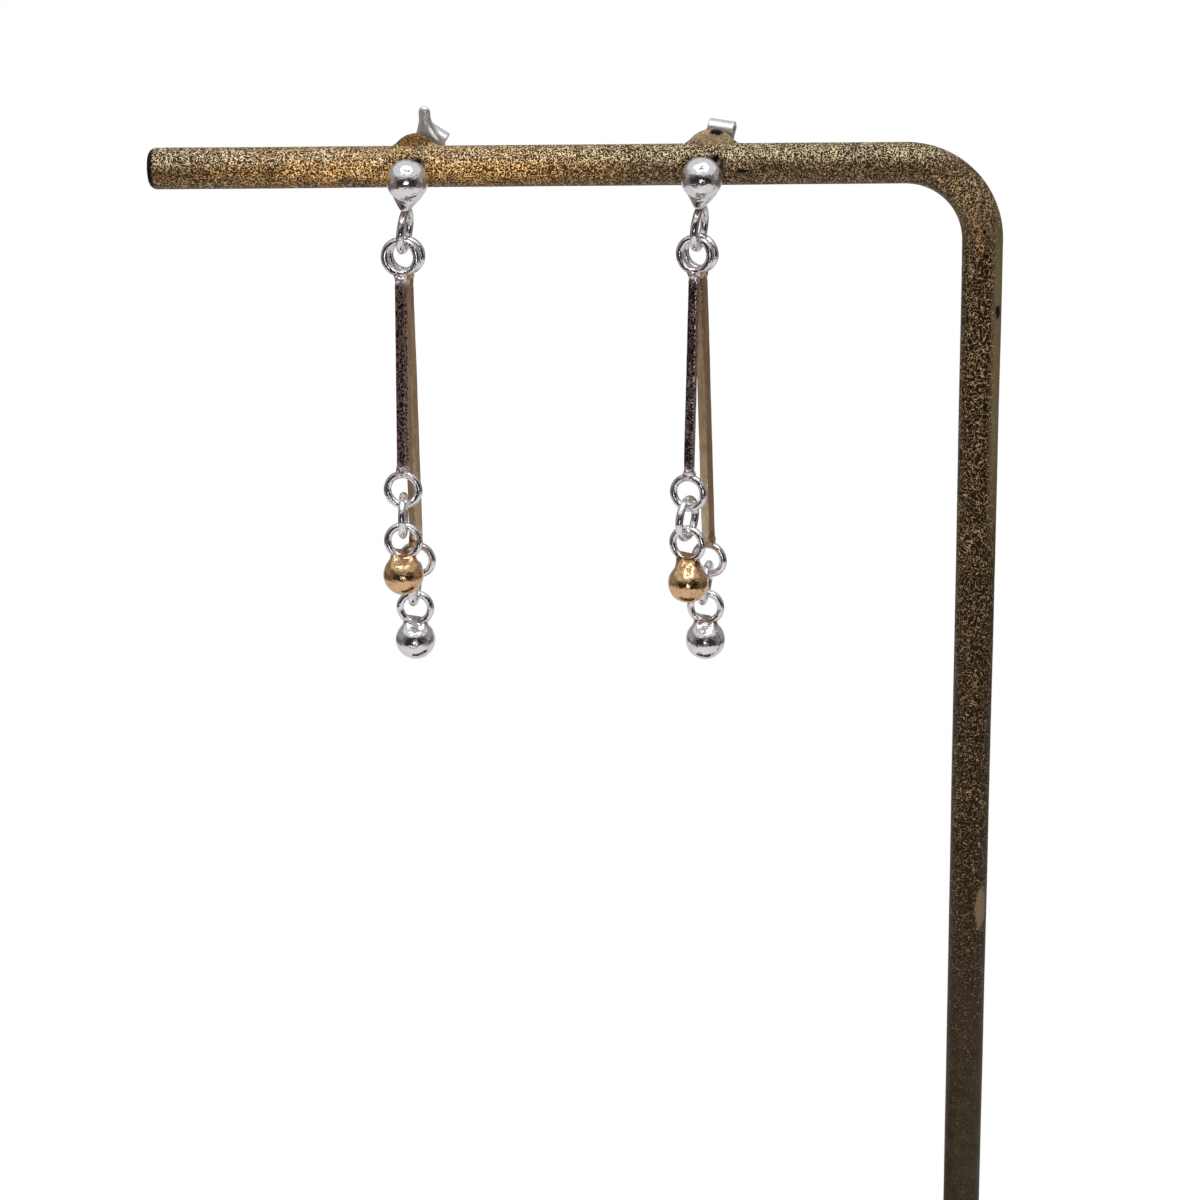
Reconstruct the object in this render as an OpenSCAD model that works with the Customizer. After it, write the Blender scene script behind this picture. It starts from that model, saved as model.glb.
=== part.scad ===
// Pair of bar dangle earrings hanging on a bent rod stand.
// The origin is the centre of the base's underside. +Z is up, the front of the earrings faces -Y,
// and the arm runs along X with its free end at -X.

/* [Stand rod] */
// Thickness of the round rod
rod_d = 4; // [3.4:0.1:4.4]
// Height of the arm's axis above the table
arm_height = 139; // [110:1:180]
// Length of the arm, from its free end to the line of the pole
arm_length = 81.2; // [75:0.1:110]
// Place of the pole's line along X, at the arm's height
pole_x = 33.7; // [30:0.1:36]
// Radius of the bend, on the rod's axis
bend_r = 7.9; // [5:0.1:12]
// Lean of the pole away from the arm, in degrees
pole_lean = 1.3; // [0:0.1:2]
// Rounding round the arm's free end
rod_end_r = 0.8; // [0.2:0.1:1.4]

/* [Stand base] */
// Length of the base plate along the arm
base_length = 86; // [82:1:120]
// Depth of the base plate from front to back
base_depth = 48; // [36:1:60]
// Thickness of the base plate
base_thick = 3; // [2.5:0.5:6]
// Corner radius of the base plate
base_corner_r = 7; // [3:1:15]
// Rounding of the base plate's upper edge
base_edge_r = 1; // [0.4:0.1:1.5]
// Depth to which the pole stands in the base plate
socket_depth = 1.6; // [1:0.1:2]

/* [Eyelets] */
// Width of the left flattened place in the arm
left_eyelet_d = 4.7; // [4.5:0.1:6]
// Width of the right flattened place in the arm
right_eyelet_d = 5.5; // [4.5:0.1:6]
// Height of the left flattened place's centre above the arm's axis
left_eyelet_rise = 0.75; // [0.5:0.05:1]
// Height of the right flattened place's centre above the arm's axis
right_eyelet_rise = 0.55; // [0.3:0.05:1]
// Thickness that the rod is pressed to
eyelet_thick = 2.2; // [2:0.1:2.4]
// Hole through each flattened place
eyelet_hole_d = 2; // [1.9:0.1:2.4]
// Radius of the pressed hollows, front and back
press_r = 6; // [5.5:0.5:14]
// Radius of the fillets between the rod's upper edge and the flattened place
eyelet_fillet_r = 3; // [2:0.5:4]
// Place of the left eyelet along X
left_eyelet_x = -21.55; // [-24:0.05:-20]
// Place of the right eyelet along X
right_eyelet_x = 7.2; // [6:0.05:10]

/* [Studs] */
// Diameter of every ball
ball_d = 4.1; // [3.8:0.1:4.2]
// Diameter of the post
post_d = 0.8; // [0.7:0.05:0.9]
// Length of the post behind the ball
post_length = 9; // [8.5:0.5:13]
// Distance from the ball's centre to the middle of the eyelet's hole, along the post
stud_reach = 3.65; // [3.6:0.05:4]
// Height of the post above the arm's axis, in the middle of the hole
post_rise = 0.2; // [0:0.05:0.3]
// Angle by which the front of the post sags
post_sag = 10; // [6:0.5:12]
// Distance from the ball's centre down to the centre of the stud's ring
stud_ring_drop = 5.4; // [5:0.05:5.6]

/* [Rings] */
// Outer diameter of the stud's ring and of the jump rings
link_d = 4.75; // [4.5:0.05:5]
// Wire of the stud's ring and of the jump rings
link_wire = 0.82; // [0.7:0.02:0.9]
// Outer diameter of the rings soldered on bars and drop balls
eye_d = 3.95; // [3.8:0.05:4.2]
// Wire of the rings soldered on bars and drop balls
eye_wire = 0.78; // [0.7:0.02:0.84]
// Gap left where one ring hangs in another
hang_gap = 0.08; // [0.05:0.01:0.12]

/* [Drops] */
// Side of the square silver bars
silver_bar_w = 0.9; // [0.8:0.05:1]
// Side of the square gold bars
gold_bar_w = 1; // [0.8:0.05:1.1]
// Length of the silver bar between its rings
silver_bar_length = 19.5; // [15:0.1:24]
// Length of the gold bar between its rings
gold_bar_length = 28; // [26:0.1:34]
// Distance from the centre of a drop ball's ring to the ball's centre
ball_hang = 3.5; // [3.5:0.05:3.9]

/* [Clutches] */
// Width of the clutch's strip
strip_w = 3; // [2.6:0.1:3.4]
// Thickness of the clutch's strip
strip_t = 0.32; // [0.25:0.01:0.4]
// Length of the clutch over its two curls
clutch_length = 6.3; // [5.6:0.1:6.8]
// Outer diameter of the curls
curl_d = 1.7; // [1.4:0.1:2]
// Clearance between the clutch and the post
clutch_clear = 0.05; // [0.04:0.01:0.1]
// Width of the tongue that stands up from the left clutch
tongue_w = 1.15; // [0.8:0.05:1.3]
// Height of the tongue's tip above the post
tongue_h = 5; // [4:0.1:5.4]
// Distance of the tongue to the right of the post
tongue_x = 0.5; // [0:0.05:0.6]

/* [Hidden] */

$fn = 64;
bronze = "#6b5130";
silver = "#d9d9dc";
gold = "#c99a4b";

rod_r = rod_d / 2;
// The bend is a hair fuller than the straight parts, which run a little way into it.
bend_swell = 0.01;
bend_overlap = 0.3;
// The pressed hollows stop a hair short of the flattened place's two faces.
press_step = 0.05;
ball_r = ball_d / 2;
post_r = post_d / 2;
link_r = (link_d - link_wire) / 2;
eye_r = (eye_d - eye_wire) / 2;
hang_step = (link_wire + eye_wire) / 2 + hang_gap;

// How each stud stands in its hole: place along X, turn of the post to the side, roll about the post.
EYELET_X = 0;
STUD_YAW = 1;
STUD_ROLL = 2;
// How its clutch sits: distance behind the middle of the hole, roll about the post.
CLUTCH_BACK = 3;
CLUTCH_ROLL = 4;
// The flattened place that it hangs in: width and rise above the arm's axis.
EYELET_D = 5;
EYELET_RISE = 6;
left_side = [left_eyelet_x, -10, 7, 2.4, 33, left_eyelet_d, left_eyelet_rise];
right_side = [right_eyelet_x, -18, 5, 2.35, 6, right_eyelet_d, right_eyelet_rise];

// How each drop hangs: sideways shift of its upper eye in the stud's ring, lean of the bar to the
// side, tilt of the whole drop to the front (negative) or to the back, and turn of the bar about its
// own length; lean and turn of the jump ring; lean and turn of the ball. The next two values are the
// differences in the length of the bar and in the ball's distance from its ring, as they were made,
// and the last is the angle at which the square bar was soldered to its eyes.
EYE_SHIFT = 0;
BAR_LEAN = 1;
DROP_TILT = 2;
BAR_TURN = 3;
LINK_LEAN = 4;
LINK_TURN = 5;
BALL_LEAN = 6;
BALL_TURN = 7;
BAR_EXTRA = 8;
BALL_EXTRA = 9;
BAR_TWIST = 10;
left_front = [-0.24, -1.2, -2.5, -6, -1.5, 0, -1.5, -3, 0, 0.05, -25];
left_back = [0, 0, 2.35, -8, -5.5, -6, -2, -4, 0.1, 0.05, -32];
right_front = [-0.2, -1.3, -2.5, -22, -2.5, -26, 1, -23, 0.6, 0.6, 1];
right_back = [0, 2.1, 2.35, -27, -6.5, -12, 0, -12, 0.3, 0.2, -11];

// Turns of a point about the three axes.
function turn_x(p, a) = [p.x, p.y * cos(a) - p.z * sin(a), p.y * sin(a) + p.z * cos(a)];
function turn_y(p, a) = [p.x * cos(a) + p.z * sin(a), p.y, p.z * cos(a) - p.x * sin(a)];
function turn_z(p, a) = [p.x * cos(a) - p.y * sin(a), p.x * sin(a) + p.y * cos(a), p.z];
function unit(p) = p / norm(p);

// A direction or place in the stud's own frame, turned as the stud stands in its hole.
function stud_turned(p, side) =
    turn_z(turn_x(turn_y(p, side[STUD_ROLL]), post_sag), side[STUD_YAW]);
function hole_centre(side) = [side[EYELET_X], 0, arm_height + post_rise];
function stud_ring_centre(side) =
    hole_centre(side) + stud_turned([0, -stud_reach, -stud_ring_drop], side);

// The way down and the way forward inside the plane of the stud's ring.
function ring_down(side) = let (
        along = stud_turned([0, 1, 0], side),
        upright = stud_turned([0, 0, 1], side))
    -unit(along * along.z + upright * upright.z);
function ring_front(side) = let (
        down = ring_down(side),
        along = stud_turned([0, 1, 0], side))
    -unit(along - down * (along * down));

// Two eyes lie side by side in the bottom of the stud's ring, so each sits up its curve a little.
seat_r = link_r - hang_step;
eye_gap = 0.12;
seat_angle = asin((eye_wire + eye_gap) / 2 / seat_r);

// Middle of the wire at the top of a bar's upper eye: what the drop swings about.
function pivot(side, front) =
    stud_ring_centre(side)
    + seat_r * (ring_down(side) * cos(seat_angle) + (front ? 1 : -1) * ring_front(side) * sin(seat_angle));

// Places along a bar, measured down from the wire of its upper eye.
eye_low = eye_r + eye_d / 2;
function bar_length(front, pose) = (front ? silver_bar_length : gold_bar_length) + pose[BAR_EXTRA];
function lower_eye(length) = eye_low + length + eye_d / 2;

// Distance between the centres of a jump ring and of an eye that hang in each other.
ring_step = link_r - hang_step + eye_r;

module at_stud(side) {
    translate(hole_centre(side))
        rotate([0, 0, side[STUD_YAW]])
            rotate([post_sag, 0, 0])
                children();
}

// A shifted eye also sits higher, by as much as its curve rises.
module at_drop(side, front, pose) {
    shift = pose[EYE_SHIFT];
    lift = eye_r - sqrt(eye_r * eye_r - shift * shift);
    translate(pivot(side, front))
        rotate([pose[DROP_TILT], -pose[BAR_LEAN], 0])
            rotate([0, 0, pose[BAR_TURN]])
                translate([shift, 0, lift])
                    rotate([0, 0, -pose[BAR_TURN]])
                        children();
}

module at_link(side, front, pose) {
    at_drop(side, front, pose)
        translate([0, 0, -lower_eye(bar_length(front, pose))])
            rotate([0, pose[BAR_LEAN] - pose[LINK_LEAN], 0])
                translate([0, 0, -ring_step])
                    children();
}

module at_ball(side, front, pose) {
    at_link(side, front, pose)
        rotate([0, pose[LINK_LEAN] - pose[BALL_LEAN], 0])
            translate([0, 0, -ring_step])
                rotate([0, 0, pose[BALL_TURN]])
                    children();
}

// Ring of round wire, standing in the XZ plane.
module wire_ring(mean_r, wire) {
    rotate([90, 0, 0])
        rotate_extrude()
            translate([mean_r, 0])
                circle(d = wire);
}

// Round rod along +X from the origin, with a rounded end at the origin.
module round_ended_rod(length) {
    rotate([0, 90, 0])
        rotate_extrude()
            union() {
                square([rod_r - rod_end_r, length]);
                translate([0, rod_end_r])
                    square([rod_r, length - rod_end_r]);
                translate([rod_r - rod_end_r, rod_end_r])
                    intersection() {
                        circle(r = rod_end_r);
                        translate([0, -rod_end_r])
                            square([rod_end_r, rod_end_r]);
                    }
            }
}

// Outline of a flattened place, seen from the front: a disc with fillets into the rod's upper edge.
module eyelet_outline(side) {
    disc_r = side[EYELET_D] / 2;
    disc_z = side[EYELET_RISE];
    reach = disc_r + eyelet_fillet_r;
    // The fillets run out just inside the round rod.
    fillet_z = rod_r * 0.75 + eyelet_fillet_r;
    rise = fillet_z - disc_z;
    fillet_x = sqrt(reach * reach - rise * rise);
    translate([0, disc_z])
        circle(r = disc_r);
    difference() {
        translate([-fillet_x, 0])
            square([2 * fillet_x, disc_z + rise * disc_r / reach]);
        for (hand = [1, -1])
            translate([hand * fillet_x, fillet_z])
                circle(r = eyelet_fillet_r);
    }
}

// Cutters for the pressed hollows and for the hole of one eyelet.
module eyelet_cuts() {
    for (face = [1, -1])
        translate([0, face * (eyelet_thick / 2 + press_step + press_r), -rod_d])
            cylinder(r = press_r, h = 2 * rod_d, $fn = 128);
    translate([0, rod_d, post_rise])
        rotate([90, 0, 0])
            cylinder(d = eyelet_hole_d, h = 2 * rod_d);
}

module stand_rod() {
    bend_turn = 90 - pole_lean;
    // Distance from the corner where the two axes would meet to the ends of the bend.
    bend_reach = bend_r * tan(bend_turn / 2);
    bend_start = pole_x - bend_reach;
    arm_start = pole_x - arm_length;
    pole_length = (arm_height - base_thick) / cos(pole_lean) - bend_reach + socket_depth;
    color(bronze)
        translate([0, 0, arm_height])
            union() {
                difference() {
                    union() {
                        translate([arm_start, 0, 0])
                            round_ended_rod(bend_start - arm_start + bend_overlap);
                        for (side = [left_side, right_side])
                            translate([side[EYELET_X], eyelet_thick / 2, 0])
                                rotate([90, 0, 0])
                                    linear_extrude(eyelet_thick)
                                        eyelet_outline(side);
                    }
                    for (side = [left_side, right_side])
                        translate([side[EYELET_X], 0, 0])
                            eyelet_cuts();
                }
                translate([bend_start, 0, -bend_r])
                    rotate([90, 0, 0])
                        rotate([0, 0, 90 - bend_turn])
                            rotate_extrude(angle = bend_turn)
                                translate([bend_r, 0])
                                    circle(r = rod_r + bend_swell);
                translate([pole_x, 0, 0])
                    rotate([0, 180 - pole_lean, 0])
                        translate([0, 0, bend_reach - bend_overlap])
                            cylinder(r = rod_r, h = pole_length + bend_overlap);
            }
}

// Half of the base plate's section from a corner's centre outwards, with its upper edge rounded.
module base_edge_section(reach) {
    square([reach, base_thick - base_edge_r]);
    square([reach - base_edge_r, base_thick]);
    translate([reach - base_edge_r, base_thick - base_edge_r])
        circle(r = base_edge_r);
}

module stand_base() {
    straight_x = base_length / 2 - base_corner_r;
    straight_y = base_depth / 2 - base_corner_r;
    pole_foot = pole_x + (arm_height - base_thick) * tan(pole_lean);
    socket_r = rod_r + 0.03;
    color(bronze)
        difference() {
            union() {
                for (side = [0, 180])
                    rotate([0, 0, side]) {
                        translate([0, straight_y, 0])
                            rotate([90, 0, 90])
                                translate([0, 0, -straight_x])
                                    linear_extrude(2 * straight_x)
                                        base_edge_section(base_corner_r);
                        translate([straight_x, 0, 0])
                            rotate([90, 0, 0])
                                translate([0, 0, -straight_y])
                                    linear_extrude(2 * straight_y)
                                        base_edge_section(base_corner_r);
                    }
                for (x = [-straight_x, straight_x])
                    for (y = [-straight_y, straight_y])
                        translate([x, y, 0])
                            rotate_extrude()
                                intersection() {
                                    base_edge_section(base_corner_r);
                                    square([base_corner_r, base_thick]);
                                }
                translate([-straight_x, -straight_y, 0])
                    cube([2 * straight_x, 2 * straight_y, base_thick]);
            }
            translate([pole_foot, 0, base_thick])
                rotate([0, 180 - pole_lean, 0])
                    translate([0, 0, -base_thick])
                        cylinder(r = socket_r, h = base_thick + socket_depth);
        }
}

// Ball, post and ring in one, with a cone of solder from the ball down to the ring.
module stud(side) {
    cone_foot_r = 0.62;
    cone_top_r = 1.85;
    cone_h = 2.5;
    color(silver)
        at_stud(side)
            rotate([0, side[STUD_ROLL], 0])
                translate([0, -stud_reach, 0])
                    union() {
                        sphere(r = ball_r);
                        rotate([-90, 0, 0])
                            cylinder(r = post_r, h = ball_r + post_length);
                        translate([0, 0, -stud_ring_drop])
                            rotate([0, 0, 90])
                                wire_ring(link_r, link_wire);
                        translate([0, 0, -stud_ring_drop + link_r - link_wire / 4])
                            cylinder(r1 = cone_foot_r, r2 = cone_top_r, h = cone_h);
                    }
}

// Side view of the clutch's strip: a front plate, a curl at each end, and legs back to the post.
module clutch_profile() {
    curl_r = curl_d / 2;
    curl_z = clutch_length / 2 - curl_r;
    grip_z = post_r + clutch_clear;
    grip_length = 3 * strip_t;
    translate([0, -curl_z])
        square([strip_t, 2 * curl_z]);
    for (end = [1, -1]) {
        translate([curl_r, end * curl_z])
            difference() {
                circle(r = curl_r);
                circle(r = curl_r - strip_t);
                translate([-curl_d, end > 0 ? -curl_d : 0])
                    square([2 * curl_d, curl_d]);
            }
        translate([curl_d - strip_t, end > 0 ? grip_z : -curl_z])
            square([strip_t, curl_z - grip_z]);
        translate([curl_d - grip_length, end > 0 ? grip_z : -grip_z - strip_t])
            square([grip_length, strip_t]);
    }
}

// Narrow round-ended tongue of the strip, which stands up straight from the front plate.
module clutch_tongue() {
    tongue_t = 1.5 * strip_t;
    foot_z = 1;
    tip_z = tongue_h - tongue_w / 2;
    translate([tongue_x, tongue_t - strip_t / 2, 0])
        rotate([90, 0, 0])
            linear_extrude(tongue_t) {
                translate([-tongue_w / 2, foot_z])
                    square([tongue_w, tip_z - foot_z]);
                translate([0, tip_z])
                    circle(d = tongue_w);
            }
}

module clutch(side, has_tongue) {
    color(silver)
        at_stud(side)
            translate([0, side[CLUTCH_BACK], 0])
                rotate([0, side[CLUTCH_ROLL], 0])
                    union() {
                        difference() {
                            translate([-strip_w / 2, 0, 0])
                                rotate([90, 0, 90])
                                    linear_extrude(strip_w)
                                        clutch_profile();
                            translate([0, -strip_t, 0])
                                rotate([-90, 0, 0])
                                    cylinder(r = post_r + clutch_clear, h = 3 * strip_t);
                        }
                        if (has_tongue)
                            rotate([0, -side[CLUTCH_ROLL], 0])
                                clutch_tongue();
                    }
}

// Shoulder of solder between an eye and the end of a bar, widest at the eye.
module bar_shoulder(width) {
    wide_r = width * 0.8;
    narrow_r = width * 0.45;
    translate([0, eye_wire / 2, 0])
        rotate([90, 0, 0])
            linear_extrude(eye_wire)
                polygon([[wide_r, 0], [narrow_r, -width], [-narrow_r, -width], [-wide_r, 0]]);
}

// Square bar with an eye soldered on each end, hanging from the wire of its upper eye.
module bar(length, width, twist) {
    solid_length = length + eye_wire;
    for (z = [-eye_r, -lower_eye(length)])
        translate([0, 0, z])
            wire_ring(eye_r, eye_wire);
    translate([0, 0, eye_wire / 2 - eye_low]) {
        bar_shoulder(width);
        translate([0, 0, -solid_length]) {
            mirror([0, 0, 1])
                bar_shoulder(width);
            rotate([0, 0, twist])
                translate([-width / 2, -width / 2, 0])
                    cube([width, width, solid_length]);
        }
    }
}

// The front bar is silver and the back one gold.
module drop_bar(side, front, pose) {
    color(front ? silver : gold)
        at_drop(side, front, pose)
            rotate([0, 0, pose[BAR_TURN]])
                bar(bar_length(front, pose), front ? silver_bar_w : gold_bar_w, pose[BAR_TWIST]);
}

// Jump ring below a bar, edge on to the front when its own turn is zero.
module drop_link(side, front, pose) {
    color(silver)
        at_link(side, front, pose)
            rotate([0, 0, 90 + pose[LINK_TURN]])
                wire_ring(link_r, link_wire);
}

// Ball with its ring and a neck of solder: gold below the silver bar, silver below the gold one.
module drop_ball(side, front, pose) {
    hang = ball_hang + pose[BALL_EXTRA];
    neck_foot = ball_r * 0.55;
    neck_foot_r = 1.66;
    neck_top_r = 1.1;
    color(front ? gold : silver)
        at_ball(side, front, pose)
            union() {
                wire_ring(eye_r, eye_wire);
                translate([0, 0, -hang]) {
                    sphere(r = ball_r);
                    translate([0, 0, neck_foot])
                        cylinder(r1 = neck_foot_r, r2 = neck_top_r, h = hang - eye_r - neck_foot);
                }
            }
}

stand_base();
stand_rod();

stud(left_side);  // left_stud
clutch(left_side, true);  // left_clutch
drop_bar(left_side, true, left_front);  // left_silver_bar
drop_link(left_side, true, left_front);  // left_silver_bar_link
drop_ball(left_side, true, left_front);  // left_gold_ball
drop_bar(left_side, false, left_back);  // left_gold_bar
drop_link(left_side, false, left_back);  // left_gold_bar_link
drop_ball(left_side, false, left_back);  // left_silver_ball

stud(right_side);  // right_stud
clutch(right_side, false);  // right_clutch
drop_bar(right_side, true, right_front);  // right_silver_bar
drop_link(right_side, true, right_front);  // right_silver_bar_link
drop_ball(right_side, true, right_front);  // right_gold_ball
drop_bar(right_side, false, right_back);  // right_gold_bar
drop_link(right_side, false, right_back);  // right_gold_bar_link
drop_ball(right_side, false, right_back);  // right_silver_ball
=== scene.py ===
"""Looks of a pair of bar dangle earrings on their bent rod stand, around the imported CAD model.

Each piece is shaped in millimetres in its own frame, as it was made at the bench, and is then placed
in the row frame, in metres, where the CAD model has it.
"""
import logging
from dataclasses import dataclass
from enum import Enum
from math import acos, asin, atan2, cos, hypot, pi, radians, sin, sqrt, tan
from typing import Callable, Sequence

import bmesh
import bpy
from mathutils import Matrix, Quaternion, Vector, noise


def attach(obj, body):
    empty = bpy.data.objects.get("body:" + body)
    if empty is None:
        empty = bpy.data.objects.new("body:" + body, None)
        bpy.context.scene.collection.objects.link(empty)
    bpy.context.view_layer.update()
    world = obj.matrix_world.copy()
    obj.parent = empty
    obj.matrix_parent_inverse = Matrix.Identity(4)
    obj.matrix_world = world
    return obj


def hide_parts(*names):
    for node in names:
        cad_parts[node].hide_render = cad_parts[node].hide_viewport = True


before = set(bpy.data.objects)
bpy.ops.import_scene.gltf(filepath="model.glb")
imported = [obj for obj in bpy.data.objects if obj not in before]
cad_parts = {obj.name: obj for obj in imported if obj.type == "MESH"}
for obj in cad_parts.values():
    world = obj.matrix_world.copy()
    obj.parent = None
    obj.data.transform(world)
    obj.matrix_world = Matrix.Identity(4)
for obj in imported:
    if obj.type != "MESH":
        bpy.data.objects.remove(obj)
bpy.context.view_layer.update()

log = logging.getLogger("earrings")

MM = 0.001
# Points nearer than this to each other are one point.
TOUCHING = 1e-5
# Start of the noise behind all unevenness. Without it each run has another one.
UNEVENNESS = 5
JOINT_SHADE = "joint_shade"
Move = Callable[[Vector], Vector]
Colour = tuple[float, float, float]
Triple = tuple[float, float, float]
Fade = tuple[float, float]
Socket = bpy.types.NodeSocket
DARK: Colour = (0.020, 0.016, 0.014)


class End(Enum):
    """How the end of a lofted skin is closed."""

    FLAT = "flat"
    POINT = "point"


class Side(Enum):
    """The two earrings of the pair, as the front view shows them."""

    LEFT = "left"
    RIGHT = "right"


def turn(angle: float, axis: str) -> Matrix:
    """Turn by an angle in degrees about X, Y or Z."""
    return Matrix.Rotation(radians(angle), 4, axis)


def shift(x: float, y: float, z: float) -> Matrix:
    """Move by a distance along each axis."""
    return Matrix.Translation((x, y, z))


def clamp(value: float) -> float:
    """The value, kept from 0 to 1."""
    return min(1.0, max(0.0, value))


def dome(share: float) -> float:
    """Height of a quarter circle of radius 1, from 0 at a share of 0 to 1 at a share of 1."""
    return sqrt(1 - (1 - share) ** 2)


def blend(start: float, end: float, value: float) -> float:
    """Share from 0 to 1 by which value has passed from start to end, slow at both."""
    share = clamp((value - start) / (end - start))
    return share * share * (3 - 2 * share)


def soft_max(a: float, b: float, width: float) -> float:
    """The larger of two values, with the corner between them rounded over a width."""
    near = max(0.0, width - abs(a - b)) / width
    return max(a, b) + near * near * width / 4


def swell(unit: float, power: float) -> float:
    """Coordinate on an outline between a circle (power 2) and a square (high power)."""
    return abs(unit) ** (2 / power) * (1 if unit >= 0 else -1)


def wander(point: Vector, reach: float, amount: float, seed: float) -> Vector:
    """Small smooth unevenness of hand work at a point.

    Args:
        point: Place on the piece, in millimetres.
        reach: Length over which the surface rises and falls, in millimetres.
        amount: Greatest height, in millimetres.
        seed: Keeps two pieces from having the same unevenness.

    Returns:
        The offset to add to the point.
    """
    return noise.noise_vector(point / reach + Vector((seed, seed * 0.7, -seed))) * amount


def rounded_square(unit: Vector, half_x: float, half_y: float, corner: float) -> tuple[float, float]:
    """Point on the outline of a square wire with rounded corners.

    Args:
        unit: Direction from the middle, of length 1.
        half_x: Half of the width.
        half_y: Half of the depth.
        corner: Radius of the corners.

    Returns:
        The point's two coordinates.
    """
    reach = 1 / max(abs(unit.x), abs(unit.y))
    x, y = unit.x * reach * half_x, unit.y * reach * half_y
    inner_x, inner_y = half_x - corner, half_y - corner
    if abs(x) > inner_x and abs(y) > inner_y:
        centre = Vector((inner_x * (1 if x > 0 else -1), inner_y * (1 if y > 0 else -1)))
        out = (Vector((x, y)) - centre).normalized() * corner
        return centre.x + out.x, centre.y + out.y
    return x, y


class Skin:
    """A mesh in the making, in millimetres in its piece's own frame."""

    def __init__(self) -> None:
        """Starts with an empty mesh."""
        self.bm = bmesh.new()
        self.shade_layer = self.bm.verts.layers.float.new(JOINT_SHADE)

    def loft(self, sections: Sequence[Move], points: int, start: End, end: End) -> "Skin":
        """Draws one loop of points out from section to section.

        Args:
            sections: Each takes a point of the unit circle to its place on that section.
            points: Number of points round the loop.
            start: How the first section is closed.
            end: How the last section is closed.

        Returns:
            This skin.
        """
        loop = bmesh.ops.create_circle(self.bm, cap_ends=False, radius=1, segments=points)["verts"]
        units = [vert.co.copy() for vert in loop]
        edges = self._edges_of(loop)
        first = (list(loop), list(edges))
        for vert, unit in zip(loop, units):
            vert.co = sections[0](unit)
        for section in sections[1:]:
            geom = bmesh.ops.extrude_edge_only(self.bm, edges=edges)["geom"]
            fresh = {item for item in geom if isinstance(item, bmesh.types.BMVert)}
            loop = [
                next(other for edge in vert.link_edges if (other := edge.other_vert(vert)) in fresh)
                for vert in loop
            ]
            edges = [
                item for item in geom
                if isinstance(item, bmesh.types.BMEdge) and item.verts[0] in fresh and item.verts[1] in fresh
            ]
            for vert, unit in zip(loop, units):
                vert.co = section(unit)
        self._close(*first, start)
        self._close(loop, edges, end)
        return self

    @staticmethod
    def _edges_of(verts: list) -> list:
        """Every edge of some points once, always in the same order."""
        return list(dict.fromkeys(edge for vert in verts for edge in vert.link_edges))

    def _close(self, loop: list, edges: list, end: End) -> None:
        """Closes one end of a loft.

        Args:
            loop: The end's points.
            edges: The end's edges.
            end: How it is closed.
        """
        if end is End.FLAT:
            bmesh.ops.contextual_create(self.bm, geom=edges)
        else:
            middle = sum((vert.co for vert in loop), Vector()) / len(loop)
            bmesh.ops.pointmerge(self.bm, verts=loop, merge_co=middle)

    def ring(self, mean_r: float, wire: float, steps: int = 72, points: int = 20) -> "Skin":
        """Round wire bent to a closed ring in the XZ plane.

        Args:
            mean_r: Radius of the wire's middle line.
            wire: Thickness of the wire.
            steps: Number of steps round the ring.
            points: Number of points round the wire.

        Returns:
            This skin.
        """
        verts = bmesh.ops.create_circle(
            self.bm, cap_ends=False, radius=wire / 2, segments=points, matrix=shift(mean_r, 0, 0)
        )["verts"]
        edges = self._edges_of(verts)
        bmesh.ops.spin(
            self.bm, geom=verts + edges, cent=(0, 0, 0), axis=(0, 1, 0), angle=2 * pi,
            steps=steps, use_merge=True, use_duplicate=False,
        )
        return self

    def ball(self, radius: float, columns: int = 72, rows: int = 48) -> "Skin":
        """Smooth ball about the origin.

        Args:
            radius: Radius of the ball.
            columns: Number of faces round it.
            rows: Number of faces from pole to pole.

        Returns:
            This skin.
        """
        bmesh.ops.create_uvsphere(self.bm, u_segments=columns, v_segments=rows, radius=radius)
        return self

    def move(self, rule: Move) -> "Skin":
        """Moves every point by a rule.

        Args:
            rule: Gives a point's new place.

        Returns:
            This skin.
        """
        for vert in self.bm.verts:
            vert.co = rule(vert.co)
        return self

    def uneven(self, reach: float, amount: float, seed: float) -> "Skin":
        """Gives the whole skin the small unevenness of hand work and returns it."""
        return self.move(lambda point: point + wander(point, reach, amount, seed))

    def shade(self, rule: Callable[[Vector], float]) -> "Skin":
        """Marks how near each point is to a soldered joint.

        Args:
            rule: Gives a point's nearness, from 0 to 1.

        Returns:
            This skin.
        """
        for vert in self.bm.verts:
            vert[self.shade_layer] = clamp(rule(vert.co))
        return self

    def colour(self, index: int) -> "Skin":
        """Gives every face one of the piece's materials.

        Args:
            index: The material's place in the piece's list.

        Returns:
            This skin.
        """
        for face in self.bm.faces:
            face.material_index = index
        return self

    def join(self, other: "Skin", place: Matrix = Matrix.Identity(4)) -> "Skin":
        """Adds another skin to this one.

        Args:
            other: The skin to add. It is used up.
            place: Where it goes in this skin's frame.

        Returns:
            This skin.
        """
        other.bm.transform(place)
        carrier = bpy.data.meshes.new("carrier")
        other.bm.to_mesh(carrier)
        other.bm.free()
        self.bm.from_mesh(carrier)
        bpy.data.meshes.remove(carrier)
        self.shade_layer = self.bm.verts.layers.float[JOINT_SHADE]
        return self

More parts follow.
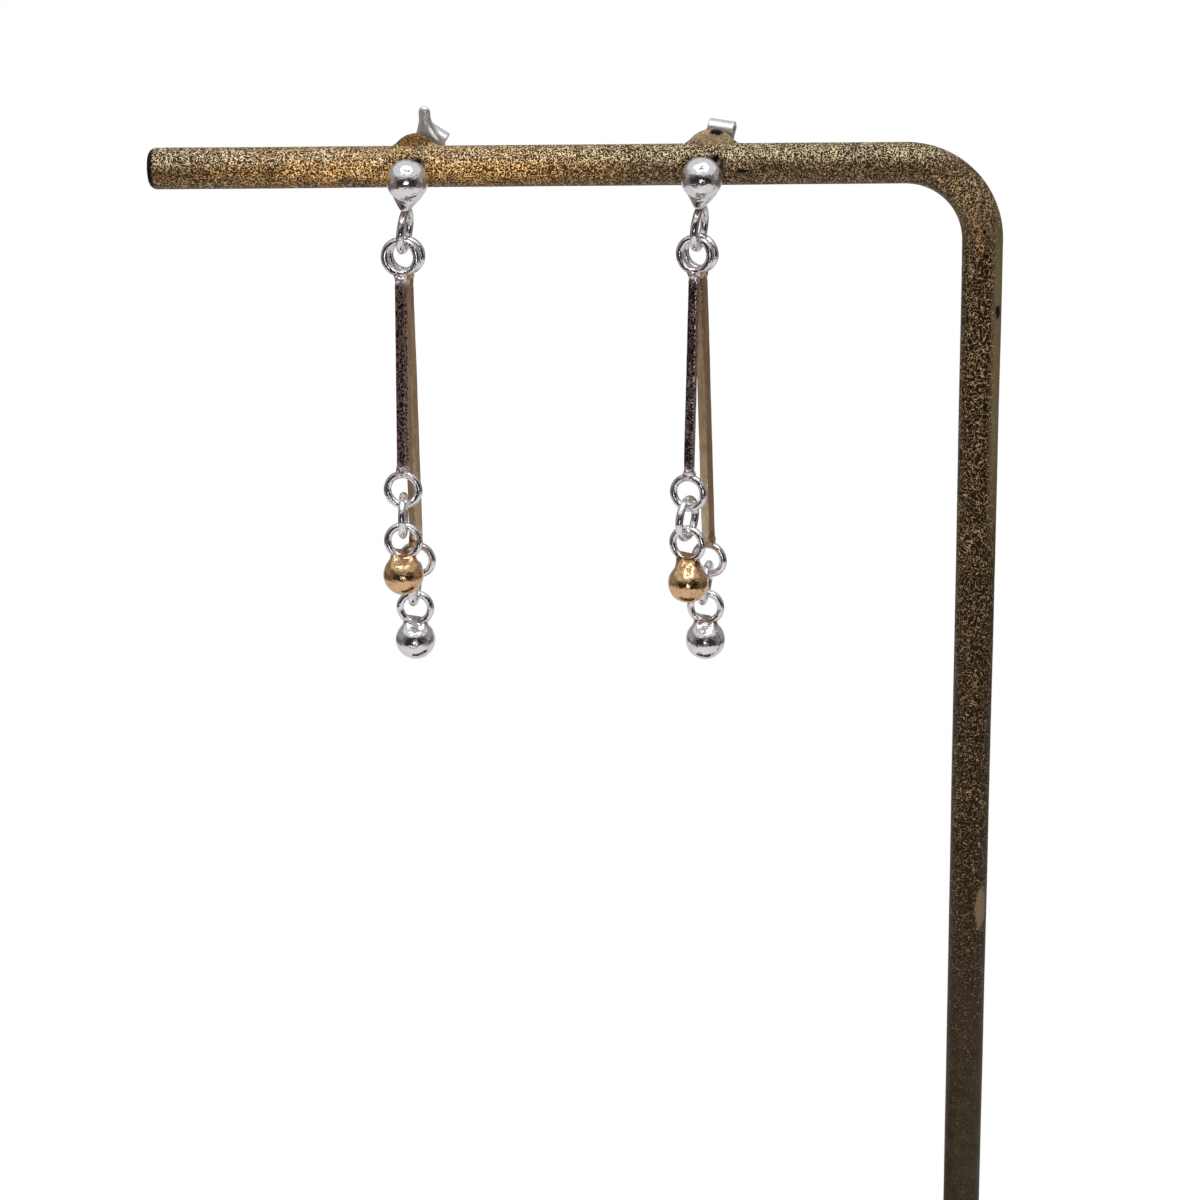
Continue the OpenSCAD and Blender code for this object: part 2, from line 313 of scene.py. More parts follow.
    def pierce(self, place: Matrix, radius: float, clear: float, points: int = 40) -> "Skin":
        """Opens a round hole through the skin along the Z axis of a place.

        Args:
            place: Middle and direction of the hole.
            radius: Radius of the hole.
            clear: Radius inside which the old points are taken away.
            points: Number of points round the hole.

        Returns:
            This skin.
        """
        into = place.inverted()
        deep = clear * 4
        near = [
            vert for vert in self.bm.verts
            if (into @ vert.co).xy.length < clear and abs((into @ vert.co).z) < deep
        ]
        bmesh.ops.delete(self.bm, geom=near, context="VERTS")
        open_edges = [edge for edge in self.bm.edges if edge.is_boundary]
        mouths = []
        for face in (1, -1):
            rim = [edge for edge in open_edges if (into @ edge.verts[0].co).z * face > 0]
            depth = sum((into @ vert.co).z for edge in rim for vert in edge.verts) / (2 * len(rim))
            verts = bmesh.ops.create_circle(
                self.bm, cap_ends=False, radius=radius, segments=points, matrix=place @ shift(0, 0, depth)
            )["verts"]
            mouth = self._edges_of(verts)
            bmesh.ops.bridge_loops(self.bm, edges=rim + mouth)
            mouths += mouth
        bmesh.ops.bridge_loops(self.bm, edges=mouths)
        return self

    def piece(
        self, name: str, place: Matrix, materials: Sequence[bpy.types.Material], sharp: float = 50
    ) -> bpy.types.Object:
        """Makes the finished piece in the row frame.

        Args:
            name: Name of the piece.
            place: Where the piece is, in millimetres.
            materials: Its materials, in the order of the faces' numbers.
            sharp: Angle between two faces, in degrees, from which their edge looks sharp.

        Returns:
            The new object, which sits at the origin.
        """
        bmesh.ops.remove_doubles(self.bm, verts=self.bm.verts, dist=TOUCHING)
        bmesh.ops.recalc_face_normals(self.bm, faces=self.bm.faces)
        self.bm.transform(Matrix.Scale(MM, 4) @ place)
        for one_face in self.bm.faces:
            one_face.smooth = True
        mesh = bpy.data.meshes.new(name)
        self.bm.to_mesh(mesh)
        self.bm.free()
        for material in materials:
            mesh.materials.append(material)
        mesh.set_sharp_from_angle(angle=radians(sharp))
        made = bpy.data.objects.new(name, mesh)
        bpy.context.scene.collection.objects.link(made)
        return made


def hand_over(piece: bpy.types.Object, body: str, node: str) -> None:
    """Sets a finished piece in the frame.

    Args:
        piece: The finished piece.
        body: The CAD body it rides on.
        node: The CAD node it stands for.
    """
    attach(piece, body)
    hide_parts(node)
    log.info("%s: %d faces on %s", piece.name, len(piece.data.polygons), body)


class Graph:
    """Short way to add and join the nodes of one shader tree."""

    def __init__(self, tree: bpy.types.NodeTree) -> None:
        """Works on one tree."""
        self.tree = tree

    def node(self, kind: str, inputs: dict | None = None, **settings: object) -> bpy.types.Node:
        """Adds one node.

        Args:
            kind: Blender's name for the node.
            inputs: Value or output to join, for each input that is set, by name or number.
            settings: The node's own settings.

        Returns:
            The new node.
        """
        made = self.tree.nodes.new(kind)
        for key, setting in settings.items():
            setattr(made, key, setting)
        for key, value in (inputs or {}).items():
            if isinstance(value, Socket):
                self.feed(value, made.inputs[key])
            else:
                made.inputs[key].default_value = value
        return made

    def feed(self, value: Socket, into: Socket) -> None:
        """Joins an output to an input."""
        self.tree.links.new(value, into)

    def sum(self, operation: str, *values: object) -> Socket:
        """Result of one sum on up to three values or outputs."""
        return self.node("ShaderNodeMath", dict(enumerate(values)), operation=operation).outputs[0]

    def times(self, first: object, second: object) -> Socket:
        """Product of two values or outputs."""
        return self.sum("MULTIPLY", first, second)

    def add(self, first: object, second: object) -> Socket:
        """Total of two values or outputs."""
        return self.sum("ADD", first, second)

    def rest(self, share: object) -> Socket:
        """What a share leaves of 1."""
        return self.sum("SUBTRACT", 1.0, share)

    def most(self, first: object, second: object) -> Socket:
        """The larger of two values or outputs."""
        return self.sum("MAXIMUM", first, second)

    def vector(self, operation: str, first: Socket, second: Socket) -> Socket:
        """Result of one sum on two vectors."""
        return self.node("ShaderNodeVectorMath", {0: first, 1: second}, operation=operation).outputs[0]

    def cloud(self, at: Socket, scale: object, detail: float, roughness: float = 0.5) -> Socket:
        """Cloudy noise, as a value about 0.5.

        Args:
            at: The place that it is read at.
            scale: Number of clouds in a metre.
            detail: Number of finer clouds that are laid over it.
            roughness: How much the finer ones count.

        Returns:
            The value.
        """
        wanted = {"Vector": at, "Scale": scale, "Detail": detail, "Roughness": roughness}
        return self.node("ShaderNodeTexNoise", wanted).outputs[0]

    def step(self, value: object, start: object, end: object) -> Socket:
        """Soft step from 0 at start to 1 at end."""
        wanted = {"Value": value, "From Min": start, "From Max": end}
        return self.node("ShaderNodeMapRange", wanted, interpolation_type="SMOOTHSTEP").outputs[0]

    def mix(self, share: object, first: object, second: object) -> Socket:
        """Mixes two colours.

        Args:
            share: Share of the second colour, as a value or an output.
            first: The first colour, or an output that gives it.
            second: The second one.

        Returns:
            The mixed colour.
        """
        made = self.node("ShaderNodeMix", data_type="RGBA")
        for key, value in ((0, share), (6, first), (7, second)):
            if isinstance(value, Socket):
                self.feed(value, made.inputs[key])
            elif key:
                made.inputs[key].default_value = (*value, 1)
            else:
                made.inputs[key].default_value = value
        return made.outputs[2]

    def group(self, tree: bpy.types.NodeTree, values: dict[str, object]) -> bpy.types.Node:
        """Places one of the shared effects with its values."""
        return self.node("ShaderNodeGroup", values, node_tree=tree)

    def place(self) -> Socket:
        """The point's own coordinates on the piece."""
        return self.node("ShaderNodeTexCoord").outputs["Object"]

    def near_joint(self) -> Socket:
        """How near the point is to a soldered joint, from 0 to 1."""
        return self.node("ShaderNodeAttribute", attribute_name=JOINT_SHADE).outputs["Fac"]


def new_group(
    name: str, inputs: dict[str, float], outputs: Sequence[str]
) -> tuple[Graph, bpy.types.Node, bpy.types.Node]:
    """Starts a shader node group of plain numbers.

    Args:
        name: Name of the group.
        inputs: Names of its inputs with their usual values.
        outputs: Names of its outputs.

    Returns:
        A graph that fills the group, and the group's input and output nodes.
    """
    tree = bpy.data.node_groups.new(name, "ShaderNodeTree")
    for key, value in inputs.items():
        socket = tree.interface.new_socket(key, in_out="INPUT", socket_type="NodeSocketFloat")
        socket.default_value = value
    for key in outputs:
        tree.interface.new_socket(key, in_out="OUTPUT", socket_type="NodeSocketFloat")
    graph = Graph(tree)
    return graph, graph.node("NodeGroupInput"), graph.node("NodeGroupOutput")


def new_material(name: str, colour: Colour) -> tuple[bpy.types.Material, Graph, bpy.types.Node]:
    """Starts a material.

    Args:
        name: Name of the material.
        colour: Colour that stands for it in a view without shading.

    Returns:
        The material, a graph that fills it, and its Principled BSDF.
    """
    made = bpy.data.materials.new(name)
    made.use_nodes = True
    made.diffuse_color = (*colour, 1)
    return made, Graph(made.node_tree), made.node_tree.nodes["Principled BSDF"]


class Effects:
    """Surface effects that the finishes share, each a node group that is built once."""

    def __init__(self) -> None:
        """Builds the groups."""
        self.bench_work = self._bench_work()
        self.patina = self._patina()
        self.worm_speckle = self._worm_speckle()
        self.blot = self._blot()

    def _bench_work(self) -> bpy.types.NodeTree:
        """Shallow dents, lumps of solder and fine file scratches along a piece.

        Returns:
            The group, which puts out a height and a haze mask.
        """
        usual = {"Dents": 0.5, "Scratches": 0.5, "Along": 1.0, "Lumps": 2.0}
        g, given, out = new_group("bench work", usual, ("Height", "Haze"))
        point = g.place()
        stretch = g.node("ShaderNodeCombineXYZ", {"X": 1.0, "Y": 1.0, "Z": given.outputs["Along"]})
        stretched = g.vector("MULTIPLY", point, stretch.outputs[0])
        dents = g.cloud(point, scale=1100, detail=3.5, roughness=0.6)
        scratches = g.cloud(stretched, scale=9000, detail=3.0, roughness=0.7)
        solder = g.cloud(point, scale=2400, detail=1.5)
        haze = g.cloud(stretched, scale=1700, detail=4.0)
        filed = g.add(g.times(dents, given.outputs["Dents"]), g.times(scratches, given.outputs["Scratches"]))
        lumps = g.times(g.times(g.near_joint(), given.outputs["Lumps"]), solder)
        g.feed(g.add(filed, lumps), out.inputs["Height"])
        g.feed(g.step(haze, start=0.42, end=0.68), out.inputs["Haze"])
        return g.tree

    def _patina(self) -> bpy.types.NodeTree:
        """Film that stays near soldered joints and in patches.

        Returns:
            The group, which puts out a mask.
        """
        usual = {"Joint": 0.7, "Patches": 0.15, "Grain": 1500.0, "From": 0.5, "To": 0.72}
        g, given, out = new_group("patina", usual, ("Mask",))
        coarse = g.cloud(g.place(), scale=1500, detail=4.0, roughness=0.65)
        fine = g.cloud(g.place(), given.outputs["Grain"], detail=4.0, roughness=0.65)
        at_joint = g.times(g.near_joint(), given.outputs["Joint"])
        cloudy = g.times(at_joint, g.step(coarse, start=0.3, end=0.6))
        patch = g.step(fine, given.outputs["From"], given.outputs["To"])
        g.feed(g.most(cloudy, g.times(patch, given.outputs["Patches"])), out.inputs["Mask"])
        return g.tree

    def _worm_speckle(self) -> bpy.types.NodeTree:
        """Fine winding flecks, as of crackled metallic paint, where a cloud is near its middle value.

        Returns:
            The group, which puts out a mask.
        """
        usual = {"Scale": 3600.0, "Width": 0.1, "Seed": 0.0}
        g, given, out = new_group("worm speckle", usual, ("Mask",))
        moved = g.vector("ADD", g.place(), given.outputs["Seed"])
        lie = g.cloud(moved, given.outputs["Scale"], detail=1.0, roughness=0.4)
        off = g.sum("ABSOLUTE", g.sum("SUBTRACT", lie, 0.5))
        full = g.times(given.outputs["Width"], 0.7)
        g.feed(g.rest(g.step(off, full, given.outputs["Width"])), out.inputs["Mask"])
        return g.tree

    def _blot(self) -> bpy.types.NodeTree:
        """One blot with a ragged edge round a given place.

        Returns:
            The group, which puts out a mask.
        """
        usual = {"X": 0.0, "Y": 0.0, "Z": 0.0, "Across": 1.0, "Deep": 1.0, "Height": 1.0, "Ragged": 0.9}
        g, given, out = new_group("blot", usual, ("Mask",))
        sizes = {"X": given.outputs["Across"], "Y": given.outputs["Deep"], "Z": given.outputs["Height"]}
        centre = g.node("ShaderNodeCombineXYZ", {key: given.outputs[key] for key in "XYZ"})
        half = g.node("ShaderNodeCombineXYZ", sizes)
        offset = g.vector("SUBTRACT", g.place(), centre.outputs[0])
        scaled = g.vector("DIVIDE", offset, half.outputs[0])
        length = g.node("ShaderNodeVectorMath", {0: scaled}, operation="LENGTH").outputs["Value"]
        rag = g.cloud(g.place(), scale=4200, detail=2.0)
        ragged = g.times(g.sum("SUBTRACT", rag, 0.5), given.outputs["Ragged"])
        edge = g.add(length, ragged)
        g.feed(g.rest(g.step(edge, start=0.7, end=1.0)), out.inputs["Mask"])
        return g.tree


@dataclass(frozen=True)
class WorkedMetal:
    """Metal that was cast or drawn, filed, soldered and polished by hand.

    Attributes:
        name: Name of the finish.
        colour: Colour of the clean metal.
        film: Colour of the film near joints and in patches.
        gloss: Roughness where it is polished.
        dull: Roughness where it is hazy.
        dents: Height of the shallow dents.
        scratches: Height of the fine scratches.
        along: Stretch of the scratches, small for lines that run along Z.
        joint_film: How much film there is near joints.
        patches: How much film there is elsewhere.
        relief: Depth of all unevenness, in metres.
        metallic: Share of bare metal, less than 1 where a grey skin dulls it.
        lumps: Height of the lumps of solder near joints.
        solder: Colour of the solder, where it differs from the metal.
        grain: How fine the patches of film are.
        patch_from: Level of the cloud at which a patch begins, lower for more patches.
        patch_to: Level at which the film is full.
    """

    name: str
    colour: Colour
    film: Colour
    gloss: float
    dull: float
    dents: float
    scratches: float = 0.1
    along: float = 1.0
    joint_film: float = 0.6
    patches: float = 0.2
    relief: float = 0.00003
    metallic: float = 1.0
    lumps: float = 2.0
    solder: Colour | None = None
    grain: float = 1500.0
    patch_from: float = 0.5
    patch_to: float = 0.72

    def material(self, effects: Effects) -> bpy.types.Material:
        """Makes the finish.

        Args:
            effects: The shared effects.

        Returns:
            The material.
        """
        made, g, metal = new_material(self.name, self.colour)
        metal.inputs["Metallic"].default_value = self.metallic
        work = g.group(effects.bench_work, {
            "Dents": self.dents, "Scratches": self.scratches, "Along": self.along, "Lumps": self.lumps,
        })
        film = g.group(effects.patina, {
            "Joint": self.joint_film, "Patches": self.patches, "Grain": self.grain,
            "From": self.patch_from, "To": self.patch_to,
        })
        colour = g.mix(film.outputs["Mask"], self.colour, self.film)
        if self.solder:
            colour = g.mix(g.near_joint(), colour, self.solder)
        haze = g.most(work.outputs["Haze"], film.outputs["Mask"])
        rough = g.sum("MULTIPLY_ADD", haze, self.dull - self.gloss, self.gloss)
        relief = g.node("ShaderNodeBump", {
            "Height": work.outputs["Height"], "Distance": self.relief, "Strength": 1.0,
        })
        g.feed(colour, metal.inputs["Base Color"])
        g.feed(rough, metal.inputs["Roughness"])
        g.feed(relief.outputs[0], metal.inputs["Normal"])
        return made


@dataclass(frozen=True)
class Mark:
    """A blot on the lacquer, or a place where its flecks have another colour; some of them paint shadows,
    shade and highlights.

    Attributes:
        x: Place across, in millimetres.
        z: Height, in millimetres.
        half_x: Half of its width.
        half_z: Half of its height.
        colour: Its colour.
        y: Place in depth.
        half_y: Half of its depth.
        cover: How far it fills the gaps between the flecks, from 0 to 1.
    """

    x: float
    z: float
    half_x: float
    half_z: float
    colour: Colour
    y: float = -2
    half_y: float = 1.2
    cover: float = 0

    def mask(self, g: Graph, effects: Effects) -> Socket:
        """Finds where it lies.

        Args:
            g: The lacquer's graph.
            effects: The shared effects.

        Returns:
            Its mask.
        """
        values = {
            "X": self.x, "Y": self.y, "Z": self.z,
            "Across": self.half_x, "Deep": self.half_y, "Height": self.half_z,
        }
        in_metres = {key: value * MM for key, value in values.items()}
        return g.group(effects.blot, in_metres).outputs["Mask"]


@dataclass(frozen=True)
class RodZones:
    """Masks of the rod's regions, each an output in the lacquer's tree.

    Attributes:
        on_arm: The arm and the bend, fading out below the bend.
        arm_top: The arm's upper side.
        arm_low: Its lower side.
        arm_middle: Its front between the two.
        far_middle: The front of its half towards the pole.
        free_half: Its free half, without the tip.
        low_pole: The lower half of the pole, and the base.
        outer: The outer side of the pole's upper part.
    """

    on_arm: Socket
    arm_top: Socket
    arm_low: Socket
    arm_middle: Socket
    far_middle: Socket
    free_half: Socket
    low_pole: Socket
    outer: Socket


@dataclass(frozen=True)
class CrackledBronze:
    """Dark brown lacquer with winding metallic flecks, dense on the arm and sparse at the pole's foot.

    Each fade gives the two places, in metres, between which a region begins.

    Attributes:
        name: Name of the finish.
        ground: Colour of the lacquer between the flecks.
        foot: Colour of the lacquer low on the pole and on the base.
        arm_ground: Colour of the lacquer between the arm's flecks.
        lit_patch_ground: The same on the front of the arm's free half, lighter there as part of the painted
            highlight.
        khaki_sheen: Colour of the flecks on the arm's top and towards the pole, lighter on the top as a
            painted sheen.
        orange_highlight: Colour of the flecks on the front of the arm's free half, a painted highlight.
        brown: Colour of the flecks on the pole.
        rust: Colour of the flecks low on the pole and on the base.
        olive_sheen: Colour of a plain painted sheen on the pole's outer side.
        russet: Colour of the flecks on the front of the arm's two ends.
        copper_highlight: Colour of the flecks along a thin streak inside the bend, a painted highlight.
        left_dome_shade: Colour of the flecks on the left flattened place, darker there as painted shade.
        rose: Colour of the flecks on the right flattened place.
        tan: Colour of the flecks low on the arm.
        glint: Colour of the brightest flecks, painted glints inside the painted highlight.
        black_speck_and_shadow: Colour of the dark blots: dark specks near the bend, the dark free end, and
            the painted shadows beside the right stud's ball and under the right clutch.
        worn: Colour of the worn patch on the pole.
        arm_fade: Heights at which the pole's look turns into the arm's.
        top_fade: Heights of the arm's upper side.
        low_fade: Heights of the arm's lower side.
        free_fade: Places across of the arm's free half.
        tip_fade: Places across at the arm's tip.
        dense_fade: Heights over which the pole's flecks grow denser.
        low_pole_fade: Heights of the lower half of the pole.
        strip_fade: Heights at which the film on the pole's outer side begins.
        outer_fade: Places across the pole at which that film begins.
        lean: Shift of the pole to the side for each unit of height.
        sparse: Width of the flecks at the pole's foot.
        dense_gain: Width that they gain up the pole.
        arm_gain: Width that they gain on the arm.
        low_shade_gain: Change of width on the arm's lower side, where thinner flecks paint shade.
        middle_shade_gain: Change of width on the front of the half towards the pole, where thinner flecks
            paint a band of shade.
        arm_scale: How fine the flecks of the arm are.
        pole_scale: How fine those of the pole are.
        glint_scale: How fine the brightest ones are.
        glint_width: Width of the brightest ones.
        metallic: Share of bare metal in a fleck.
        rough: Roughness between the flecks.
        rough_gain: Roughness that a fleck adds.
        specular: Strength of the lacquer's plain shine.
        relief: Height of a fleck, in metres.
        relief_share: How strongly that height shows.
    """

    name: str = "crackled bronze lacquer"
    ground: Colour = (0.015, 0.007, 0.0016)
    foot: Colour = (0.042, 0.031, 0.018)
    arm_ground: Colour = (0.030, 0.016, 0.005)
    lit_patch_ground: Colour = (0.070, 0.031, 0.006)
    khaki_sheen: Colour = (0.62, 0.51, 0.32)
    orange_highlight: Colour = (0.88, 0.41, 0.085)
    brown: Colour = (0.36, 0.25, 0.13)
    rust: Colour = (0.18, 0.115, 0.065)
    olive_sheen: Colour = (0.155, 0.115, 0.055)
    russet: Colour = (0.24, 0.14, 0.06)
    copper_highlight: Colour = (0.64, 0.38, 0.19)
    left_dome_shade: Colour = (0.20, 0.10, 0.03)
    rose: Colour = (0.34, 0.23, 0.135)
    tan: Colour = (0.47, 0.345, 0.20)
    glint: Colour = (1.0, 0.84, 0.50)
    black_speck_and_shadow: Colour = (0.004, 0.003, 0.002)
    worn: Colour = (0.165, 0.115, 0.06)
    arm_fade: Fade = (0.1285, 0.1365)
    top_fade: Fade = (0.1389, 0.1402)
    low_fade: Fade = (0.1388, 0.1376)
    free_fade: Fade = (0.004, -0.016)
    tip_fade: Fade = (-0.046, -0.029)
    dense_fade: Fade = (0.010, 0.125)
    low_pole_fade: Fade = (0.075, 0.02)
    strip_fade: Fade = (0.096, 0.112)
    outer_fade: Fade = (0.0374, 0.0382)
    lean: float = 0.0227
    sparse: float = 0.0085
    dense_gain: float = 0.0185
    arm_gain: float = 0.026
    low_shade_gain: float = -0.007
    middle_shade_gain: float = -0.017
    arm_scale: float = 3700.0
    pole_scale: float = 2750.0
    glint_scale: float = 5200.0
    glint_width: float = 0.075
    metallic: float = 0.15
    rough: float = 0.45
    rough_gain: float = 0.05
    specular: float = 0.1
    relief: float = 0.00003
    relief_share: float = 0.8

    def _marks(self) -> Sequence[Mark]:
        """Lists the blots on the front of the arm and of the pole, the worn patch, and two painted shadows:
        one beside the right stud's ball and one that the right clutch casts on the right flattened place.

        Returns:
            The marks, in the order in which they are laid on.
        """
        return (
            # Painted shadow of the right stud's ball on the front of the arm.
            Mark(10.06, 138.7, 0.75, 0.2, self.black_speck_and_shadow),
            Mark(34.03, 130.1, 0.32, 0.26, self.black_speck_and_shadow),
            Mark(33.72, 132.55, 0.24, 0.24, self.black_speck_and_shadow),
            Mark(34.58, 114.8, 0.26, 0.36, self.black_speck_and_shadow),
            Mark(32.74, 121.4, 0.24, 0.24, self.black_speck_and_shadow),
            Mark(35.6, 124.4, 0.5, 1.0, self.black_speck_and_shadow),
            Mark(36.85, 58.9, 0.95, 3.2, self.worn),
            Mark(-47.6, 139, 0.85, 9, self.black_speck_and_shadow, y=0, half_y=9),
            # Painted shadow of the right clutch on the top of the right flattened place.
            Mark(7.75, 142.15, 0.8, 0.4, self.black_speck_and_shadow, y=0.1, half_y=0.8),
        )

    def _streaks(self) -> Sequence[Mark]:
        """Lists where the flecks have another colour: a painted highlight inside the bend, painted shade on
        the left flattened place, and another tone on the right flattened place.

        Returns:
            The marks, in the order in which they are laid on.
        """
        return (
            # Painted highlight: a thin streak along the inside of the bend.
            Mark(29.3, 137.75, 1.0, 0.4, self.copper_highlight),
            Mark(30.7, 136.9, 0.8, 0.55, self.copper_highlight),
            Mark(31.75, 135.6, 0.55, 0.8, self.copper_highlight),
            Mark(32.5, 134.0, 0.42, 1.1, self.copper_highlight),
            Mark(33.1, 132.1, 0.32, 1.4, self.copper_highlight),
            Mark(33.5, 130.0, 0.26, 1.8, self.copper_highlight),
            # Painted shade on the left flattened place, which stands behind the arm.
            Mark(-21.9, 141.9, 3.4, 1.3, self.left_dome_shade, y=0.6),
            Mark(7.4, 141.9, 3.2, 1.3, self.rose, y=0.6, cover=0.5),
        )

    def _zones(self, g: Graph, x: Socket, z: Socket) -> RodZones:
        """Finds the rod's regions.

        Args:
            g: The lacquer's graph.
            x: Place across.
            z: Height.

        Returns:
            Their masks.
        """
        on_arm = g.step(z, *self.arm_fade)
        arm_top = g.times(on_arm, g.step(z, *self.top_fade))
        arm_low = g.times(on_arm, g.step(z, *self.low_fade))
        arm_middle = g.times(on_arm, g.rest(g.most(arm_top, arm_low)))
        from_pole = g.step(x, *self.free_fade)
        across = g.sum("MULTIPLY_ADD", z, self.lean, x)
        upper_pole = g.sum("SUBTRACT", g.step(z, *self.strip_fade), on_arm)
        return RodZones(
            on_arm=on_arm,
            arm_top=arm_top,
            arm_low=arm_low,
            arm_middle=arm_middle,
            far_middle=g.times(arm_middle, g.rest(from_pole)),
            free_half=g.times(from_pole, g.step(x, *self.tip_fade)),
            low_pole=g.step(z, *self.low_pole_fade),
            outer=g.times(upper_pole, g.step(across, *self.outer_fade)),
        )

    def _fleck_mask(self, g: Graph, effects: Effects, zones: RodZones, z: Socket) -> Socket:
        """Draws the flecks, wider and finer on the arm.

        Args:
            g: The lacquer's graph.
            effects: The shared effects.
            zones: The rod's regions.
            z: Height.

        Returns:
            Their mask.
        """
        width = g.sum("MULTIPLY_ADD", g.step(z, *self.dense_fade), self.dense_gain, self.sparse)
        width = g.sum("MULTIPLY_ADD", zones.on_arm, self.arm_gain, width)
        # Painted shade: thinner flecks on the arm's lower side and on the front of its half towards the pole.
        width = g.sum("MULTIPLY_ADD", zones.arm_low, self.low_shade_gain, width)
        width = g.sum("MULTIPLY_ADD", zones.far_middle, self.middle_shade_gain, width)
        fine_one = g.group(effects.worm_speckle, {"Scale": self.arm_scale, "Width": width})
        coarse_one = g.group(effects.worm_speckle, {"Scale": self.pole_scale, "Width": width, "Seed": 1.3})
        fine, coarse = fine_one.outputs["Mask"], coarse_one.outputs["Mask"]
        return g.sum("MULTIPLY_ADD", g.sum("SUBTRACT", fine, coarse), zones.on_arm, coarse)

    def _fleck_colour(self, g: Graph, effects: Effects, zones: RodZones, lit_patch: Socket) -> Socket:
        """Colours the flecks by region, with a painted sheen on the arm's top and a painted highlight on the
        front of its free half.

        Args:
            g: The lacquer's graph.
            effects: The shared effects.
            zones: The rod's regions.
            lit_patch: Mask of the painted highlight on the front of the arm's free half.

        Returns:
            Their colour.
        """
        fronts = g.mix(g.times(zones.far_middle, 0.6), self.russet, self.tan)
        pole = g.mix(zones.low_pole, self.brown, self.rust)
        colour = g.mix(zones.on_arm, pole, g.mix(lit_patch, fronts, self.orange_highlight))
        colour = g.mix(g.times(zones.arm_low, 0.75), colour, self.tan)
        # Painted sheen: lighter flecks along the arm's top.
        colour = g.mix(g.times(zones.arm_top, 0.8), colour, self.khaki_sheen)
        # Painted glints: the brightest flecks lie only in the painted highlight on the arm's front.
        wanted = {"Scale": self.glint_scale, "Width": self.glint_width, "Seed": 3.7}
        glints = g.group(effects.worm_speckle, wanted).outputs["Mask"]
        bright = g.times(glints, g.times(lit_patch, zones.arm_middle))
        return g.mix(g.times(bright, 0.9), colour, self.glint)

    def material(self, effects: Effects) -> bpy.types.Material:
        """Makes the finish.

        Args:
            effects: The shared effects.

        Returns:
            The material.
        """
        made, g, lacquer = new_material(self.name, self.khaki_sheen)
        at = g.node("ShaderNodeSeparateXYZ", {0: g.place()})
        zones = self._zones(g, at.outputs["X"], at.outputs["Z"])
        cloud = g.cloud(g.place(), scale=520, detail=4.0)
        # Painted highlight: cloudy patches on the front of the arm's free half, coloured as if lit from the
        # front left.
        lit_patch = g.times(zones.free_half, g.step(cloud, start=0.30, end=0.52))
        fleck = self._fleck_mask(g, effects, zones, at.outputs["Z"])
        flecked = self._fleck_colour(g, effects, zones, lit_patch)
        for streak in self._streaks():
            mask = streak.mask(g, effects)
            flecked = g.mix(g.times(mask, 0.85), flecked, streak.colour)
            fleck = g.most(fleck, g.times(mask, streak.cover))
        mottled = g.mix(g.step(cloud, start=0.38, end=0.62), self.foot, self.ground)
        between = g.mix(zones.low_pole, self.ground, g.mix(0.45, self.foot, mottled))
        # The lacquer between the flecks is lighter inside the painted highlight.
        between = g.mix(zones.on_arm, between, g.mix(lit_patch, self.arm_ground, self.lit_patch_ground))
        colour = g.mix(fleck, between, flecked)
        # Painted sheen on the outer side of the pole's upper part.
        colour = g.mix(g.times(zones.outer, 0.75), colour, self.olive_sheen)
        for mark in self._marks():
            colour = g.mix(mark.mask(g, effects), colour, mark.colour)
        relief = g.node("ShaderNodeBump", {
            "Height": fleck, "Distance": self.relief, "Strength": self.relief_share,
        })
        g.feed(colour, lacquer.inputs["Base Color"])
        g.feed(g.times(fleck, self.metallic), lacquer.inputs["Metallic"])
        g.feed(g.sum("MULTIPLY_ADD", fleck, self.rough_gain, self.rough), lacquer.inputs["Roughness"])
        g.feed(relief.outputs[0], lacquer.inputs["Normal"])
        lacquer.inputs["Specular IOR Level"].default_value = self.specular
        return made


